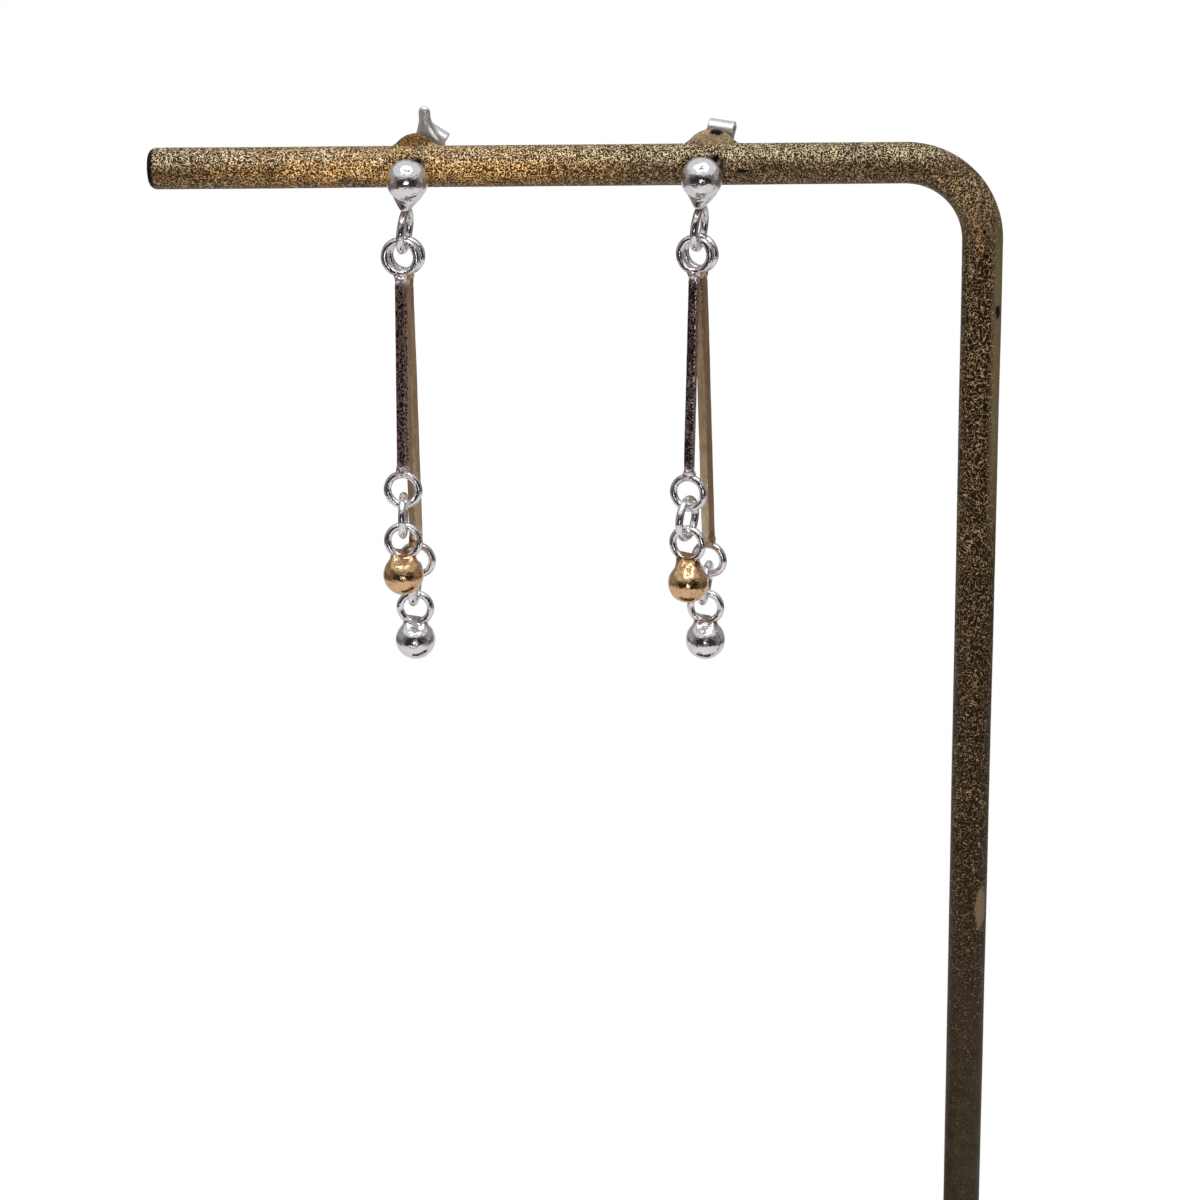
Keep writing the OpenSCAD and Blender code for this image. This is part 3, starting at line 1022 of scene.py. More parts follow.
@dataclass(frozen=True)
class Finishes:
    """The materials of the whole object.

    Attributes:
        silver: Polished silver of balls, rings and posts.
        stamped: Grey silver of the clutches.
        silver_bar: Filed silver of the front bars, with a mottled film darkened to near black as a painted
            reflection of dark surroundings.
        gold: Polished gold of the balls.
        gold_bar: Drawn gold of the back bars.
        bronze: Lacquer of the stand.
    """

    silver: bpy.types.Material
    stamped: bpy.types.Material
    silver_bar: bpy.types.Material
    gold: bpy.types.Material
    gold_bar: bpy.types.Material
    bronze: bpy.types.Material

    @classmethod
    def made(cls, effects: Effects) -> "Finishes":
        """Makes all of them.

        Args:
            effects: The shared effects.

        Returns:
            The materials.
        """
        brown: Colour = (0.30, 0.19, 0.15)
        silver = WorkedMetal(
            "polished silver", (0.86, 0.85, 0.85), brown, gloss=0.07, dull=0.16, dents=3.0,
            joint_film=0.75, patches=0.14,
        )
        stamped = WorkedMetal(
            "stamped silver", (0.62, 0.63, 0.62), brown, gloss=0.24, dull=0.4, dents=0.35,
            scratches=0.08, joint_film=0.15, patches=0.05, metallic=0.82,
        )
        # The near-black film in patches over nearly the whole bar is a painted reflection of the dark
        # surroundings that the silver mirrors, laid over its mottling.
        silver_bar = WorkedMetal(
            "filed silver", (0.88, 0.69, 0.64), (0.022, 0.010, 0.010), gloss=0.10, dull=0.3, dents=1.4,
            scratches=0.7, along=0.12, joint_film=0.2, patches=1.0, relief=0.00004, lumps=4.0,
            solder=(0.92, 0.84, 0.82), grain=4500.0, patch_from=0.42, patch_to=0.56,
        )
        gold = WorkedMetal(
            "polished gold", (0.77, 0.50, 0.27), (0.25, 0.10, 0.03), gloss=0.07, dull=0.14, dents=3.6,
            joint_film=0.75, patches=0.5,
        )
        gold_bar = WorkedMetal(
            "drawn gold", (0.76, 0.60, 0.39), (0.36, 0.22, 0.10), gloss=0.2, dull=0.36, dents=0.4,
            scratches=0.45, along=0.06, patches=0.5, relief=0.00002,
        )
        recipes = (silver, stamped, silver_bar, gold, gold_bar, CrackledBronze())
        return cls(*(recipe.material(effects) for recipe in recipes))


@dataclass(frozen=True)
class DropPose:
    """How one drop hangs, with angles in degrees and lengths in millimetres.

    Attributes:
        eye_shift: Shift of the upper eye along the ring that it hangs in.
        bar_lean: Lean of the bar to the side.
        tilt: Lean of the bar to the front or back.
        bar_turn: Turn of the bar's eyes about the upright.
        link_lean: Lean of the jump ring to the side.
        link_turn: Turn of the jump ring about the upright.
        ball_lean: Lean of the ball to the side.
        ball_turn: Turn of the ball's ring about the upright.
        bar_extra: Length of the bar beyond the usual one.
        ball_extra: Distance of the ball from its ring beyond the usual one.
        bar_twist: Turn of the square bar against its eyes.
    """

    eye_shift: float
    bar_lean: float
    tilt: float
    bar_turn: float
    link_lean: float
    link_turn: float
    ball_lean: float
    ball_turn: float
    bar_extra: float
    ball_extra: float
    bar_twist: float


@dataclass(frozen=True)
class SidePose:
    """How one earring's stud and clutch stand in their eyelet, and how its two drops hang.

    Attributes:
        eyelet_x: Place of the eyelet along the arm, in millimetres.
        eyelet_r: Radius of the eyelet's disc.
        eyelet_rise: Height of the disc's middle over the arm's.
        yaw: Turn of the post about the upright, in degrees.
        roll: Turn of the stud about its post.
        clutch_back: Distance of the clutch's plate behind the arm's middle.
        clutch_roll: Turn of the clutch about the post.
        front: The silver-bar drop.
        back: The gold-bar drop.
    """

    eyelet_x: float
    eyelet_r: float
    eyelet_rise: float
    yaw: float
    roll: float
    clutch_back: float
    clutch_roll: float
    front: DropPose
    back: DropPose


POSES = {
    Side.LEFT: SidePose(
        eyelet_x=-21.55, eyelet_r=2.35, eyelet_rise=0.75, yaw=-10, roll=7, clutch_back=2.4, clutch_roll=33,
        front=DropPose(
            eye_shift=-0.24, bar_lean=-1.2, tilt=-2.5, bar_turn=-6, link_lean=-1.5, link_turn=0,
            ball_lean=-1.5, ball_turn=-3, bar_extra=0, ball_extra=0.05, bar_twist=-25,
        ),
        back=DropPose(
            eye_shift=0, bar_lean=0, tilt=2.35, bar_turn=-8, link_lean=-5.5, link_turn=-6,
            ball_lean=-2, ball_turn=-4, bar_extra=0.1, ball_extra=0.05, bar_twist=-32,
        ),
    ),
    Side.RIGHT: SidePose(
        eyelet_x=7.2, eyelet_r=2.75, eyelet_rise=0.55, yaw=-18, roll=5, clutch_back=2.35, clutch_roll=6,
        front=DropPose(
            eye_shift=-0.2, bar_lean=-1.3, tilt=-2.5, bar_turn=-22, link_lean=-2.5, link_turn=-26,
            ball_lean=1, ball_turn=-23, bar_extra=0.6, ball_extra=0.6, bar_twist=1,
        ),
        back=DropPose(
            eye_shift=0, bar_lean=2.1, tilt=2.35, bar_turn=-27, link_lean=-6.5, link_turn=-12,
            ball_lean=0, ball_turn=-12, bar_extra=0.3, ball_extra=0.2, bar_twist=-11,
        ),
    ),
}


@dataclass(frozen=True)
class Sizes:
    """Sizes that several pieces share, as the CAD model has them, in millimetres.

    Attributes:
        arm_height: Height of the arm's middle line.
        rod_r: Radius of the rod.
        post_rise: Height of a post over the arm's middle line.
        post_sag: Tilt of a post under the weight in front, in degrees.
        post_r: Radius of a post.
        post_length: Length of a post behind its ball.
        stud_reach: Distance of a stud's ball in front of the arm's middle.
        ring_drop: Distance of a stud's ring below its ball.
        ball_r: Radius of all balls.
        link_wire: Thickness of the wire of studs' rings and jump rings.
        link_r: Radius of the middle line of those rings.
        eye_wire: Thickness of the wire of bars' and balls' eyes.
        eye_r: Radius of the middle line of those eyes.
        hang_gap: Gap between two rings that hang in each other.
        eye_gap: Gap between the two bars' eyes in one ring.
        silver_bar_half: Half of a silver bar's width.
        gold_bar_half: Half of a gold bar's width.
        silver_bar: Length of a silver bar.
        gold_bar: Length of a gold bar.
        ball_hang: Distance of a hanging ball below its eye.
        spare: What a skin leaves free of its size, so that its unevenness stays inside.
    """

    arm_height: float = 139
    rod_r: float = 2
    post_rise: float = 0.2
    post_sag: float = 10
    post_r: float = 0.4
    post_length: float = 9
    stud_reach: float = 3.65
    ring_drop: float = 5.4
    ball_r: float = 2.05
    link_wire: float = 0.82
    link_r: float = 1.965
    eye_wire: float = 0.78
    eye_r: float = 1.585
    hang_gap: float = 0.08
    eye_gap: float = 0.12
    silver_bar_half: float = 0.45
    gold_bar_half: float = 0.5
    silver_bar: float = 19.5
    gold_bar: float = 28
    ball_hang: float = 3.5
    spare: float = 0.02

    @property
    def hang_step(self) -> float:
        """Distance between the wires of two rings that hang in each other."""
        return (self.link_wire + self.eye_wire) / 2 + self.hang_gap

    @property
    def eye_low(self) -> float:
        """Distance from the middle of an eye's top wire to the eye's lowest point."""
        return 2 * self.eye_r + self.eye_wire / 2

    @property
    def ring_step(self) -> float:
        """Distance between the middles of a jump ring and of an eye that hang in each other."""
        return self.link_r - self.hang_step + self.eye_r


SIZES = Sizes()


class Hanging:
    """Places of one earring's pieces in the row frame.

    Its methods take front: true for the drop with the silver bar, false for the one with the gold bar.
    """

    def __init__(self, side: Side) -> None:
        """Works out the places of the stud and of the clutch.

        Args:
            side: Which of the pair it is.
        """
        self.pose = POSES[side]
        hole = shift(self.pose.eyelet_x, 0, SIZES.arm_height + SIZES.post_rise)
        self.post = hole @ turn(self.pose.yaw, "Z") @ turn(SIZES.post_sag, "X")
        self.stud = self.post @ turn(self.pose.roll, "Y") @ shift(0, -SIZES.stud_reach, 0)
        self.clutch = self.post @ shift(0, self.pose.clutch_back, 0) @ turn(self.pose.clutch_roll, "Y")

    def pivot(self, front: bool) -> Vector:
        """Finds where a drop hangs on the stud's ring.

        Args:
            front: Which of the two drops it is.

        Returns:
            Middle of the wire at the top of its upper eye.
        """
        along = self.stud.to_3x3() @ Vector((0, 1, 0))
        upright = self.stud.to_3x3() @ Vector((0, 0, 1))
        down = -(along * along.z + upright * upright.z).normalized()
        ahead = -(along - down * along.dot(down)).normalized()
        seat_r = SIZES.link_r - SIZES.hang_step
        seat = asin((SIZES.eye_wire + SIZES.eye_gap) / 2 / seat_r)
        centre = self.stud @ Vector((0, 0, -SIZES.ring_drop))
        return centre + seat_r * (down * cos(seat) + ahead * sin(seat) * (1 if front else -1))

    def drop_pose(self, front: bool) -> DropPose:
        """How the front or the back drop hangs."""
        return self.pose.front if front else self.pose.back

    def length(self, front: bool) -> float:
        """Length of the drop's bar between its eyes."""
        return (SIZES.silver_bar if front else SIZES.gold_bar) + self.drop_pose(front).bar_extra

    def drop(self, front: bool) -> Matrix:
        """Finds the place of a drop.

        Args:
            front: Which of the two drops it is.

        Returns:
            The place of the middle of its upper eye's top wire, as the bar leans.
        """
        pose = self.drop_pose(front)
        lift = SIZES.eye_r - sqrt(SIZES.eye_r**2 - pose.eye_shift**2)
        lean = turn(-pose.bar_lean, "Y") @ turn(pose.tilt, "X")
        aside = turn(pose.bar_turn, "Z") @ shift(pose.eye_shift, 0, lift) @ turn(-pose.bar_turn, "Z")
        return Matrix.Translation(self.pivot(front)) @ lean @ aside

    def bar(self, front: bool) -> Matrix:
        """Place of a bar with its eyes."""
        return self.drop(front) @ turn(self.drop_pose(front).bar_turn, "Z")

    def lower_eye(self, front: bool) -> float:
        """Depth of the lower eye's middle under the top wire."""
        return SIZES.eye_low + self.length(front) + SIZES.eye_r + SIZES.eye_wire / 2

    def hung_ring(self, front: bool) -> Matrix:
        """Finds the place of the jump ring before it is turned.

        Args:
            front: Which of the two drops it is in.

        Returns:
            The place of the ring's middle.
        """
        pose = self.drop_pose(front)
        lean = turn(pose.bar_lean - pose.link_lean, "Y")
        return self.drop(front) @ shift(0, 0, -self.lower_eye(front)) @ lean @ shift(0, 0, -SIZES.ring_step)

    def link(self, front: bool) -> Matrix:
        """Place of the jump ring."""
        return self.hung_ring(front) @ turn(90 + self.drop_pose(front).link_turn, "Z")

    def ball(self, front: bool) -> Matrix:
        """Finds the place of a ball.

        Args:
            front: Which of the two drops it is in.

        Returns:
            The place of the middle of its ring, with the ball below it.
        """
        pose = self.drop_pose(front)
        lean = turn(pose.link_lean - pose.ball_lean, "Y")
        return self.hung_ring(front) @ lean @ shift(0, 0, -SIZES.ring_step) @ turn(pose.ball_turn, "Z")


@dataclass
class RodStand:
    """Bent rod with two eyelets pressed into its arm, standing in a plain base plate.

    Attributes:
        finishes: The materials.
        arm_start: Place across of the arm's free end, in millimetres.
        pole_x: Place across where the lines of arm and pole meet.
        pole_lean: Lean of the pole to the right, in degrees.
        bend_r: Radius of the bend's middle line.
        end_r: Rounding of the free end's edge.
        eyelet_half: Half of the rod's depth where it is pressed flat.
        press_r: Radius of the pressing tool.
        press_aside: Shift of the press for each degree of the earring's turn.
        press_soft: Rounding where a hollow meets the round rod.
        fillet_r: Radius of the fillets beside an eyelet.
        fillet_seat: Height where a fillet ends, as a share of the rod's radius.
        plate_front: Depth at which the front of an eyelet's upper part lies.
        plate_foot: Height at which that part begins inside the rod.
        plate_square: How square its outline is.
        plate_edge: Height over which its top is rounded off.
        plate_rim: Share of its thickness that is left at the top.
        hole_r: Radius of the hole for a post.
        base_thick: Thickness of the base plate.
        base_half: Half of its width and depth.
        corner_r: Radius of its corners.
        edge_r: Rounding of its upper edge.
        socket: Depth of the socket that the pole stands in.
        socket_gap: Gap round the pole in the socket.
        socket_rim: Half width of the square round the socket.
        points: Number of points round the rod.
        fine_reach: Distance from an eyelet within which the steps are fine.
        fine_step: Step along the arm near an eyelet.
        coarse_step: Step along the arm elsewhere.
    """

    finishes: Finishes
    arm_start: float = -47.5
    pole_x: float = 33.7
    pole_lean: float = 1.3
    bend_r: float = 7.9
    end_r: float = 0.8
    eyelet_half: float = 1.15
    press_r: float = 3.4
    press_aside: float = 0.05
    press_soft: float = 0.2
    fillet_r: float = 3
    fillet_seat: float = 0.75
    plate_front: float = 0.05
    plate_foot: float = 1.25
    plate_square: float = 2.6
    plate_edge: float = 0.5
    plate_rim: float = 0.45
    hole_r: float = 1
    base_thick: float = 3
    base_half: tuple[float, float] = (43, 24)
    corner_r: float = 7
    edge_r: float = 1
    socket: float = 1.6
    socket_gap: float = 0.03
    socket_rim: float = 4
    points: int = 56
    fine_reach: float = 4.4
    fine_step: float = 0.2
    coarse_step: float = 0.7

    @property
    def foot_x(self) -> float:
        """Place across where the pole meets the base."""
        return self.pole_x + (SIZES.arm_height - self.base_thick) * tan(radians(self.pole_lean))

    def _arm_section(self, x: float, radius: float) -> Move:
        """Round section of the arm, with the hollows that are pressed in front of and behind a hole.

        Args:
            x: Place along the arm.
            radius: Radius of the rod there.

        Returns:
            The section.
        """
        off = min(abs(x - pose.eyelet_x - self.press_aside * pose.yaw) for pose in POSES.values())
        half = self.eyelet_half + off * off / (2 * self.press_r)

        def section(unit: Vector) -> Vector:
            """Takes a point of the unit circle to the arm's skin."""
            y = unit.x * radius
            depth = -soft_max(-abs(y), -half, self.press_soft)
            return Vector((x, depth * (1 if y > 0 else -1), SIZES.arm_height + unit.y * radius))

        return section

    def _eyelet_top(self, pose: SidePose) -> Skin:
        """Makes the part of a flattened place that stands up above the round rod.

        Args:
            pose: The earring that hangs there.

        Returns:
            The skin, in the row frame.
        """
        disc_r, disc_z = pose.eyelet_r, pose.eyelet_rise
        runout = SIZES.rod_r * self.fillet_seat + self.fillet_r
        reach = disc_r + self.fillet_r
        fillet_x = sqrt(reach**2 - (runout - disc_z) ** 2)
        touch_z = disc_z + (runout - disc_z) * disc_r / reach
        top = disc_z + disc_r - SIZES.spare
        front, back = self.plate_front, self.eyelet_half
        rows = 20
        sections = []
        for step in range(rows + 1):
            z = self.plate_foot + (top - self.plate_foot) * sin(pi / 2 * step / rows)
            if z < touch_z:
                half = fillet_x - sqrt(max(0.0, self.fillet_r**2 - (runout - z) ** 2))
            else:
                half = sqrt(max(0.0, disc_r**2 - (z - disc_z) ** 2))
            round_off = dome(min(1.0, (top - z) / self.plate_edge + 0.05))
            depth = (back - front) / 2 * (self.plate_rim + (1 - self.plate_rim) * round_off)
            middle = Vector((pose.eyelet_x, (front + back) / 2, SIZES.arm_height + z))
            sections.append(self._plate_section(middle, half, depth))
        return Skin().loft(sections, 64, End.FLAT, End.POINT)

    def _plate_section(self, middle: Vector, half_x: float, half_y: float) -> Move:
        """Level section of an eyelet's upper part, between an oval and an oblong."""
        power = self.plate_square
        return lambda unit: middle + Vector((swell(unit.x, power) * half_x, swell(unit.y, power) * half_y, 0))

    def _round_section(self, middle: Vector, up: Vector) -> Move:
        """Round section about a middle, with one of its axes along Y and the other along up."""
        across = Vector((0, SIZES.rod_r, 0))
        return lambda unit: middle + across * unit.x + up * (unit.y * SIZES.rod_r)

    def _rod_end(self) -> list[Move]:
        """Sections of the arm's free end: a flat face with a rounded edge.

        Returns:
            The sections.
        """
        sections = [self._arm_section(self.arm_start, SIZES.rod_r * share) for share in (0.05, 0.3)]
        for step in range(7):
            angle = radians(15 * step)
            out = SIZES.rod_r - self.end_r * (1 - sin(angle))
            sections.append(self._arm_section(self.arm_start + self.end_r * (1 - cos(angle)), out))
        return sections

    def _arm(self, bend_start: float) -> list[Move]:
        """Sections of the arm, closer to each other near an eyelet.

        Args:
            bend_start: Place across where the bend begins.

        Returns:
            The sections.
        """
        x = self.arm_start + self.end_r
        sections = []
        while x < bend_start - 0.6:
            near = min(abs(x - pose.eyelet_x) for pose in POSES.values())
            x += self.fine_step if near < self.fine_reach else self.coarse_step
            sections.append(self._arm_section(x, SIZES.rod_r))
        return sections

    def rod(self) -> bpy.types.Object:
        """Makes the bent rod.

        Returns:
            The piece.
        """
        lean = radians(self.pole_lean)
        turn_angle = radians(90 - self.pole_lean)
        reach = self.bend_r * tan(turn_angle / 2)
        bend_start = self.pole_x - reach
        sections = self._rod_end() + self._arm(bend_start)
        bend_steps = 36
        for step in range(bend_steps + 1):
            angle = turn_angle * step / bend_steps
            up = Vector((sin(angle), 0, cos(angle)))
            middle = Vector((bend_start, 0, SIZES.arm_height - self.bend_r)) + up * self.bend_r
            sections.append(self._round_section(middle, up))
        down = Vector((sin(lean), 0, -cos(lean)))
        up = Vector((cos(lean), 0, sin(lean)))
        corner = Vector((self.pole_x, 0, SIZES.arm_height))
        length = (SIZES.arm_height - self.base_thick) / cos(lean) + self.socket
        pole_steps = 60
        for step in range(1, pole_steps + 1):
            along = reach + (length - reach) * step / pole_steps
            sections.append(self._round_section(corner + down * along, up))
        skin = Skin().loft(sections, self.points, End.FLAT, End.FLAT)
        skin.move(
            lambda p: p + wander(p, reach=9.0, amount=0.02, seed=3.0)
            * blend(self.arm_start, self.arm_start + 2, p.x)
        )
        for pose in POSES.values():
            hole = shift(pose.eyelet_x, 0, SIZES.arm_height + SIZES.post_rise) @ turn(90, "X")
            skin.pierce(hole, self.hole_r, clear=self.hole_r * 1.3)
        for pose in POSES.values():
            skin.join(self._eyelet_top(pose))
        return skin.piece("bent_rod", Matrix.Identity(4), [self.finishes.bronze])

    def base(self) -> bpy.types.Object:
        """Makes the base plate with the socket that the pole stands in.

        Returns:
            The piece.
        """
        skin = Skin()
        bm = skin.bm
        half_x, half_y = self.base_half
        size = Matrix.Diagonal((2 * half_x, 2 * half_y, self.base_thick, 1))
        bmesh.ops.create_cube(bm, size=1, matrix=shift(0, 0, self.base_thick / 2) @ size)
        upright = [edge for edge in bm.edges if abs(edge.verts[0].co.z - edge.verts[1].co.z) > 1]
        self._round_edges(bm, upright, self.corner_r, 14)
        level = self.base_thick - 0.01
        rim = [edge for edge in bm.edges if min(vert.co.z for vert in edge.verts) > level]
        self._round_edges(bm, rim, self.edge_r, 6)
        side = self.socket_rim
        for normal, offset in (((1, 0, 0), self.foot_x - side), ((0, 1, 0), -side), ((0, 1, 0), side)):
            centre = Vector(normal) * offset
            geom = bm.verts[:] + bm.edges[:] + bm.faces[:]
            bmesh.ops.bisect_plane(bm, geom=geom, plane_co=centre, plane_no=normal, dist=TOUCHING)
        top = max(
            (face for face in bm.faces if face.normal.z > 0.9),
            key=lambda face: -(face.calc_center_median().xy - Vector((self.foot_x, 0))).length,
        )
        bmesh.ops.inset_region(bm, faces=[top], thickness=1.0, depth=0)
        bmesh.ops.subdivide_edges(bm, edges=list(top.edges), cuts=15)
        mouth = Vector((self.foot_x, 0, self.base_thick))
        for vert in top.verts:
            vert.co = mouth + (vert.co - mouth).normalized() * (SIZES.rod_r + self.socket_gap)
        floor = bmesh.ops.extrude_face_region(bm, geom=[top])["geom"]
        low = [item for item in floor if isinstance(item, bmesh.types.BMVert)]
        down = Vector((sin(radians(self.pole_lean)), 0, -1)) * self.socket
        bmesh.ops.translate(bm, verts=low, vec=down)
        bmesh.ops.delete(bm, geom=[top], context="FACES_ONLY")
        return skin.piece("base_plate", Matrix.Identity(4), [self.finishes.bronze], sharp=35)

    @staticmethod
    def _round_edges(bm: bmesh.types.BMesh, edges: list, radius: float, steps: int) -> None:
        """Rounds some of the base plate's edges."""
        bmesh.ops.bevel(
            bm, geom=edges, offset=radius, segments=steps, profile=0.5, affect="EDGES", material=-1
        )

    def build(self) -> None:
        """Makes the stand's two pieces and sets them in the frame."""
        hand_over(self.rod(), "stand", "stand_rod")
        hand_over(self.base(), "stand", "stand_base")


@dataclass
class Earring:
    """Ball stud, clutch and two bar drops, each with its jump ring and ball.

    A bar's sections stand closer to each other near its ends, where solder spreads it into its eyes.
    The choice between the two drops is front: true for the silver bar with the gold ball, false for
    the gold bar with the silver ball.

    Attributes:
        side: Which of the pair it is.
        finishes: The materials.
        cup_rows: Rows of the stud's cup of solder: height, half width, half depth and shift forward.
        ball_drop: How far the stud's ball hangs below the CAD model's one.
        groove_at: Place of the groove along the post.
        groove_rows: Rows of the groove: distance from its middle and share of the post's radius.
        end_steps: Distances of a bar's close sections from its end.
        bar_step: Distance between its other sections.
        solder_reach: Length over which solder spreads a bar's end.
        solder_wide: How far it widens the end.
        solder_thin: How far it thins the end.
        solder_round: Radius that the corners gain there.
        solder_lift: How far the end's sides rise to follow the eye.
        bar_corner: Radius of a bar's corners.
        neck_from: Height in a ball at which its neck of solder begins.
        neck_wide: Half width of the neck of a gold and of a silver ball, where it meets the ring.
        neck_thin: Half depth of the neck there.
        neck_flare: How far the neck widens again under the ring.
        neck_rise: How far its sides rise to follow the ring.
    """

    side: Side
    finishes: Finishes
    cup_rows: tuple[tuple[float, ...], ...] = (
        (-1.2, 1.5, 1.35, 0.2), (-1.5, 1.58, 1.4, 0.22), (-1.8, 1.48, 1.4, 0.2), (-2.1, 1.28, 1.36, 0.16),
        (-2.45, 1.02, 1.3, 0.1), (-2.75, 0.78, 1.28, 0.04), (-2.95, 0.58, 1.25, 0.0), (-3.1, 0.4, 1.1, 0.0),
        (-3.2, 0.24, 0.9, 0.0),
    )
    ball_drop: float = 0.27
    groove_at: float = 9.6
    groove_rows: tuple[tuple[float, float], ...] = (
        (-0.5, 1), (-0.32, 1), (-0.16, 0.82), (0, 0.74), (0.16, 0.82), (0.32, 1),
    )
    end_steps: tuple[float, ...] = (0.0, 0.12, 0.25, 0.4, 0.55, 0.72, 0.9, 1.1, 1.35)
    bar_step: float = 0.45
    solder_reach: float = 1.15
    solder_wide: float = 0.34
    solder_thin: float = 0.06
    solder_round: float = 0.22
    solder_lift: float = 0.3
    bar_corner: float = 0.09
    neck_from: float = 1.3
    neck_wide: tuple[float, float] = (1.3, 1.24)
    neck_thin: float = 0.37
    neck_flare: float = 0.16
    neck_rise: float = 0.85

    def __post_init__(self) -> None:
        """Finds where the earring hangs."""
        self.hanging = Hanging(self.side)
        self.seed = 11.0 if self.side is Side.LEFT else 47.0

    def _eye(self, seed: float) -> Skin:
        """One soldered eye of a bar or ball."""
        ring = Skin().ring(SIZES.eye_r, SIZES.eye_wire - SIZES.spare)
        return ring.uneven(reach=1.1, amount=0.02, seed=seed)

    def _jump_ring(self, reach: float, amount: float, seed: float) -> Skin:
        """One larger ring, of a stud or between a bar and its ball."""
        return Skin().ring(SIZES.link_r, SIZES.link_wire - SIZES.spare).uneven(reach, amount, seed)

    def stud(self) -> bpy.types.Object:
        """Makes the ball stud: ball, post with its groove, cup of solder and ring.

        Returns:
            The piece.
        """
        ball = Skin().ball(SIZES.ball_r - SIZES.spare)
        ball.uneven(reach=1.5, amount=0.03, seed=self.seed)
        ball.uneven(reach=0.55, amount=0.011, seed=self.seed + 30)
        ball.shade(lambda p: blend(-1.2, -2.0, p.z))
        cup = Skin().loft([self._cup_section(*row) for row in self.cup_rows], 56, End.FLAT, End.FLAT)
        cup.uneven(reach=1.2, amount=0.05, seed=self.seed + 2)
        cup.uneven(reach=0.6, amount=0.03, seed=self.seed + 9)
        cup.shade(lambda p: blend(-1.6, -3.2, p.z))
        post = Skin().loft(self._post_sections(), 24, End.POINT, End.POINT)
        ring = self._jump_ring(reach=1.3, amount=0.02, seed=self.seed + 4)
        ring.shade(lambda p: blend(0.8, 1.9, p.z))
        skin = Skin().join(ball, shift(0, 0, -self.ball_drop)).join(cup).join(post)
        skin.join(ring, shift(0, 0, -SIZES.ring_drop) @ turn(90, "Z"))
        return skin.piece(f"{self.side.value}_ball_stud", self.hanging.stud, [self.finishes.silver])

    @staticmethod
    def _cup_section(height: float, half_x: float, half_y: float, ahead: float) -> Move:
        """Level section of the stud's cup of solder."""
        return lambda unit: Vector((unit.x * half_x, unit.y * half_y + ahead, height))

    def _post_sections(self) -> list[Move]:
        """Sections of the post from inside the ball to its rounded tip.

        Returns:
            The sections.
        """
        tip = SIZES.ball_r + SIZES.post_length
        full = SIZES.post_r
        rows = [(1.2, 0.02), (1.25, full)]
        rows += [(self.groove_at + off, full * share) for off, share in self.groove_rows]
        rows += [(tip - 0.5, full)]
        rows += [(tip - full + full * sin(a), full * cos(a)) for a in (0.0, 0.35, 0.7, 1.05, 1.35, 1.54)]
        return [
            lambda unit, at=at, radius=radius: Vector((unit.x * radius, at, -unit.y * radius))
            for at, radius in rows
        ]

    def bar(self, front: bool) -> bpy.types.Object:
        """Makes one bar with its two eyes.

        Args:
            front: Which of the two drops it is in.

        Returns:
            The piece.
        """
        length = self.hanging.length(front)
        seed = self.seed + (6 if front else 8)
        top_z = SIZES.eye_wire / 2 - SIZES.eye_low
        foot_z = -SIZES.eye_low - length - SIZES.eye_wire / 2
        close = self.end_steps[-1]
        count = int(length / self.bar_step)
        heights = [top_z - off for off in self.end_steps]
        heights += [top_z - close + (foot_z - top_z + 2 * close) * step / count for step in range(1, count)]
        heights += [foot_z + off for off in reversed(self.end_steps)]
        sections = [self._bar_section(front, z, top_z, foot_z, seed) for z in heights]
        skin = Skin().loft(sections, 48, End.FLAT, End.FLAT)
        skin.shade(lambda p: blend(1.5, 0.4, min(top_z - p.z, p.z - foot_z)))
        skin.colour(1)
        for middle, below in ((-SIZES.eye_r, 1), (-self.hanging.lower_eye(front), -1)):
            eye = self._eye(seed + middle)
            eye.shade(lambda p, below=below: blend(0.9, 1.7, -p.z * below))
            skin.join(eye, shift(0, 0, middle))
        metal = "silver" if front else "gold"
        bar_finish = self.finishes.silver_bar if front else self.finishes.gold_bar
        materials = [self.finishes.silver, bar_finish]
        return skin.piece(f"{self.side.value}_{metal}_bar_with_eyes", self.hanging.bar(front), materials)

    def _bar_section(self, front: bool, z: float, top_z: float, foot_z: float, seed: float) -> Move:
        """Section of a square bar, spread with solder near an eye and turned away from it.

        Args:
            front: Which of the two drops it is in.
            z: Height of the section.
            top_z: Height of the bar's upper end.
            foot_z: Height of its lower end.
            seed: Keeps two bars from having the same unevenness.

        Returns:
            The section.
        """
        bar_half = SIZES.silver_bar_half if front else SIZES.gold_bar_half
        twist = self.hanging.drop_pose(front).bar_twist
        off = min(top_z - z, z - foot_z)
        hand = 1 if top_z - z < z - foot_z else -1
        spread = max(0.0, 1 - off / self.solder_reach) ** 1.7
        solder = blend(1.7, 0.8, off)
        half_x = bar_half + self.solder_wide * spread
        half_y = bar_half - self.solder_thin * spread
        side_turn = Matrix.Rotation(radians(twist) * (1 - spread), 2)
        corner = self.bar_corner + self.solder_round * spread
        lift = hand * self.solder_lift * spread
        drift = wander(Vector((0, 0, z)), reach=3.2, amount=0.018, seed=seed)

        def section(unit: Vector) -> Vector:
            """Takes a point of the unit circle to the bar's skin.

            Args:
                unit: The point.

            Returns:
                Its place on the section.
            """
            x, y = rounded_square(unit, half_x, half_y, corner)
            rub = wander(Vector((x, y, z)), reach=1.1, amount=0.012, seed=seed + 3)
            rub += wander(Vector((x, y, z)), reach=0.4, amount=0.16 * solder, seed=seed + 5)
            across = side_turn @ Vector((x + rub.x, y + rub.y))
            return Vector((across.x + drift.x, across.y + drift.y, z + lift * (x / half_x) ** 2))

        return section

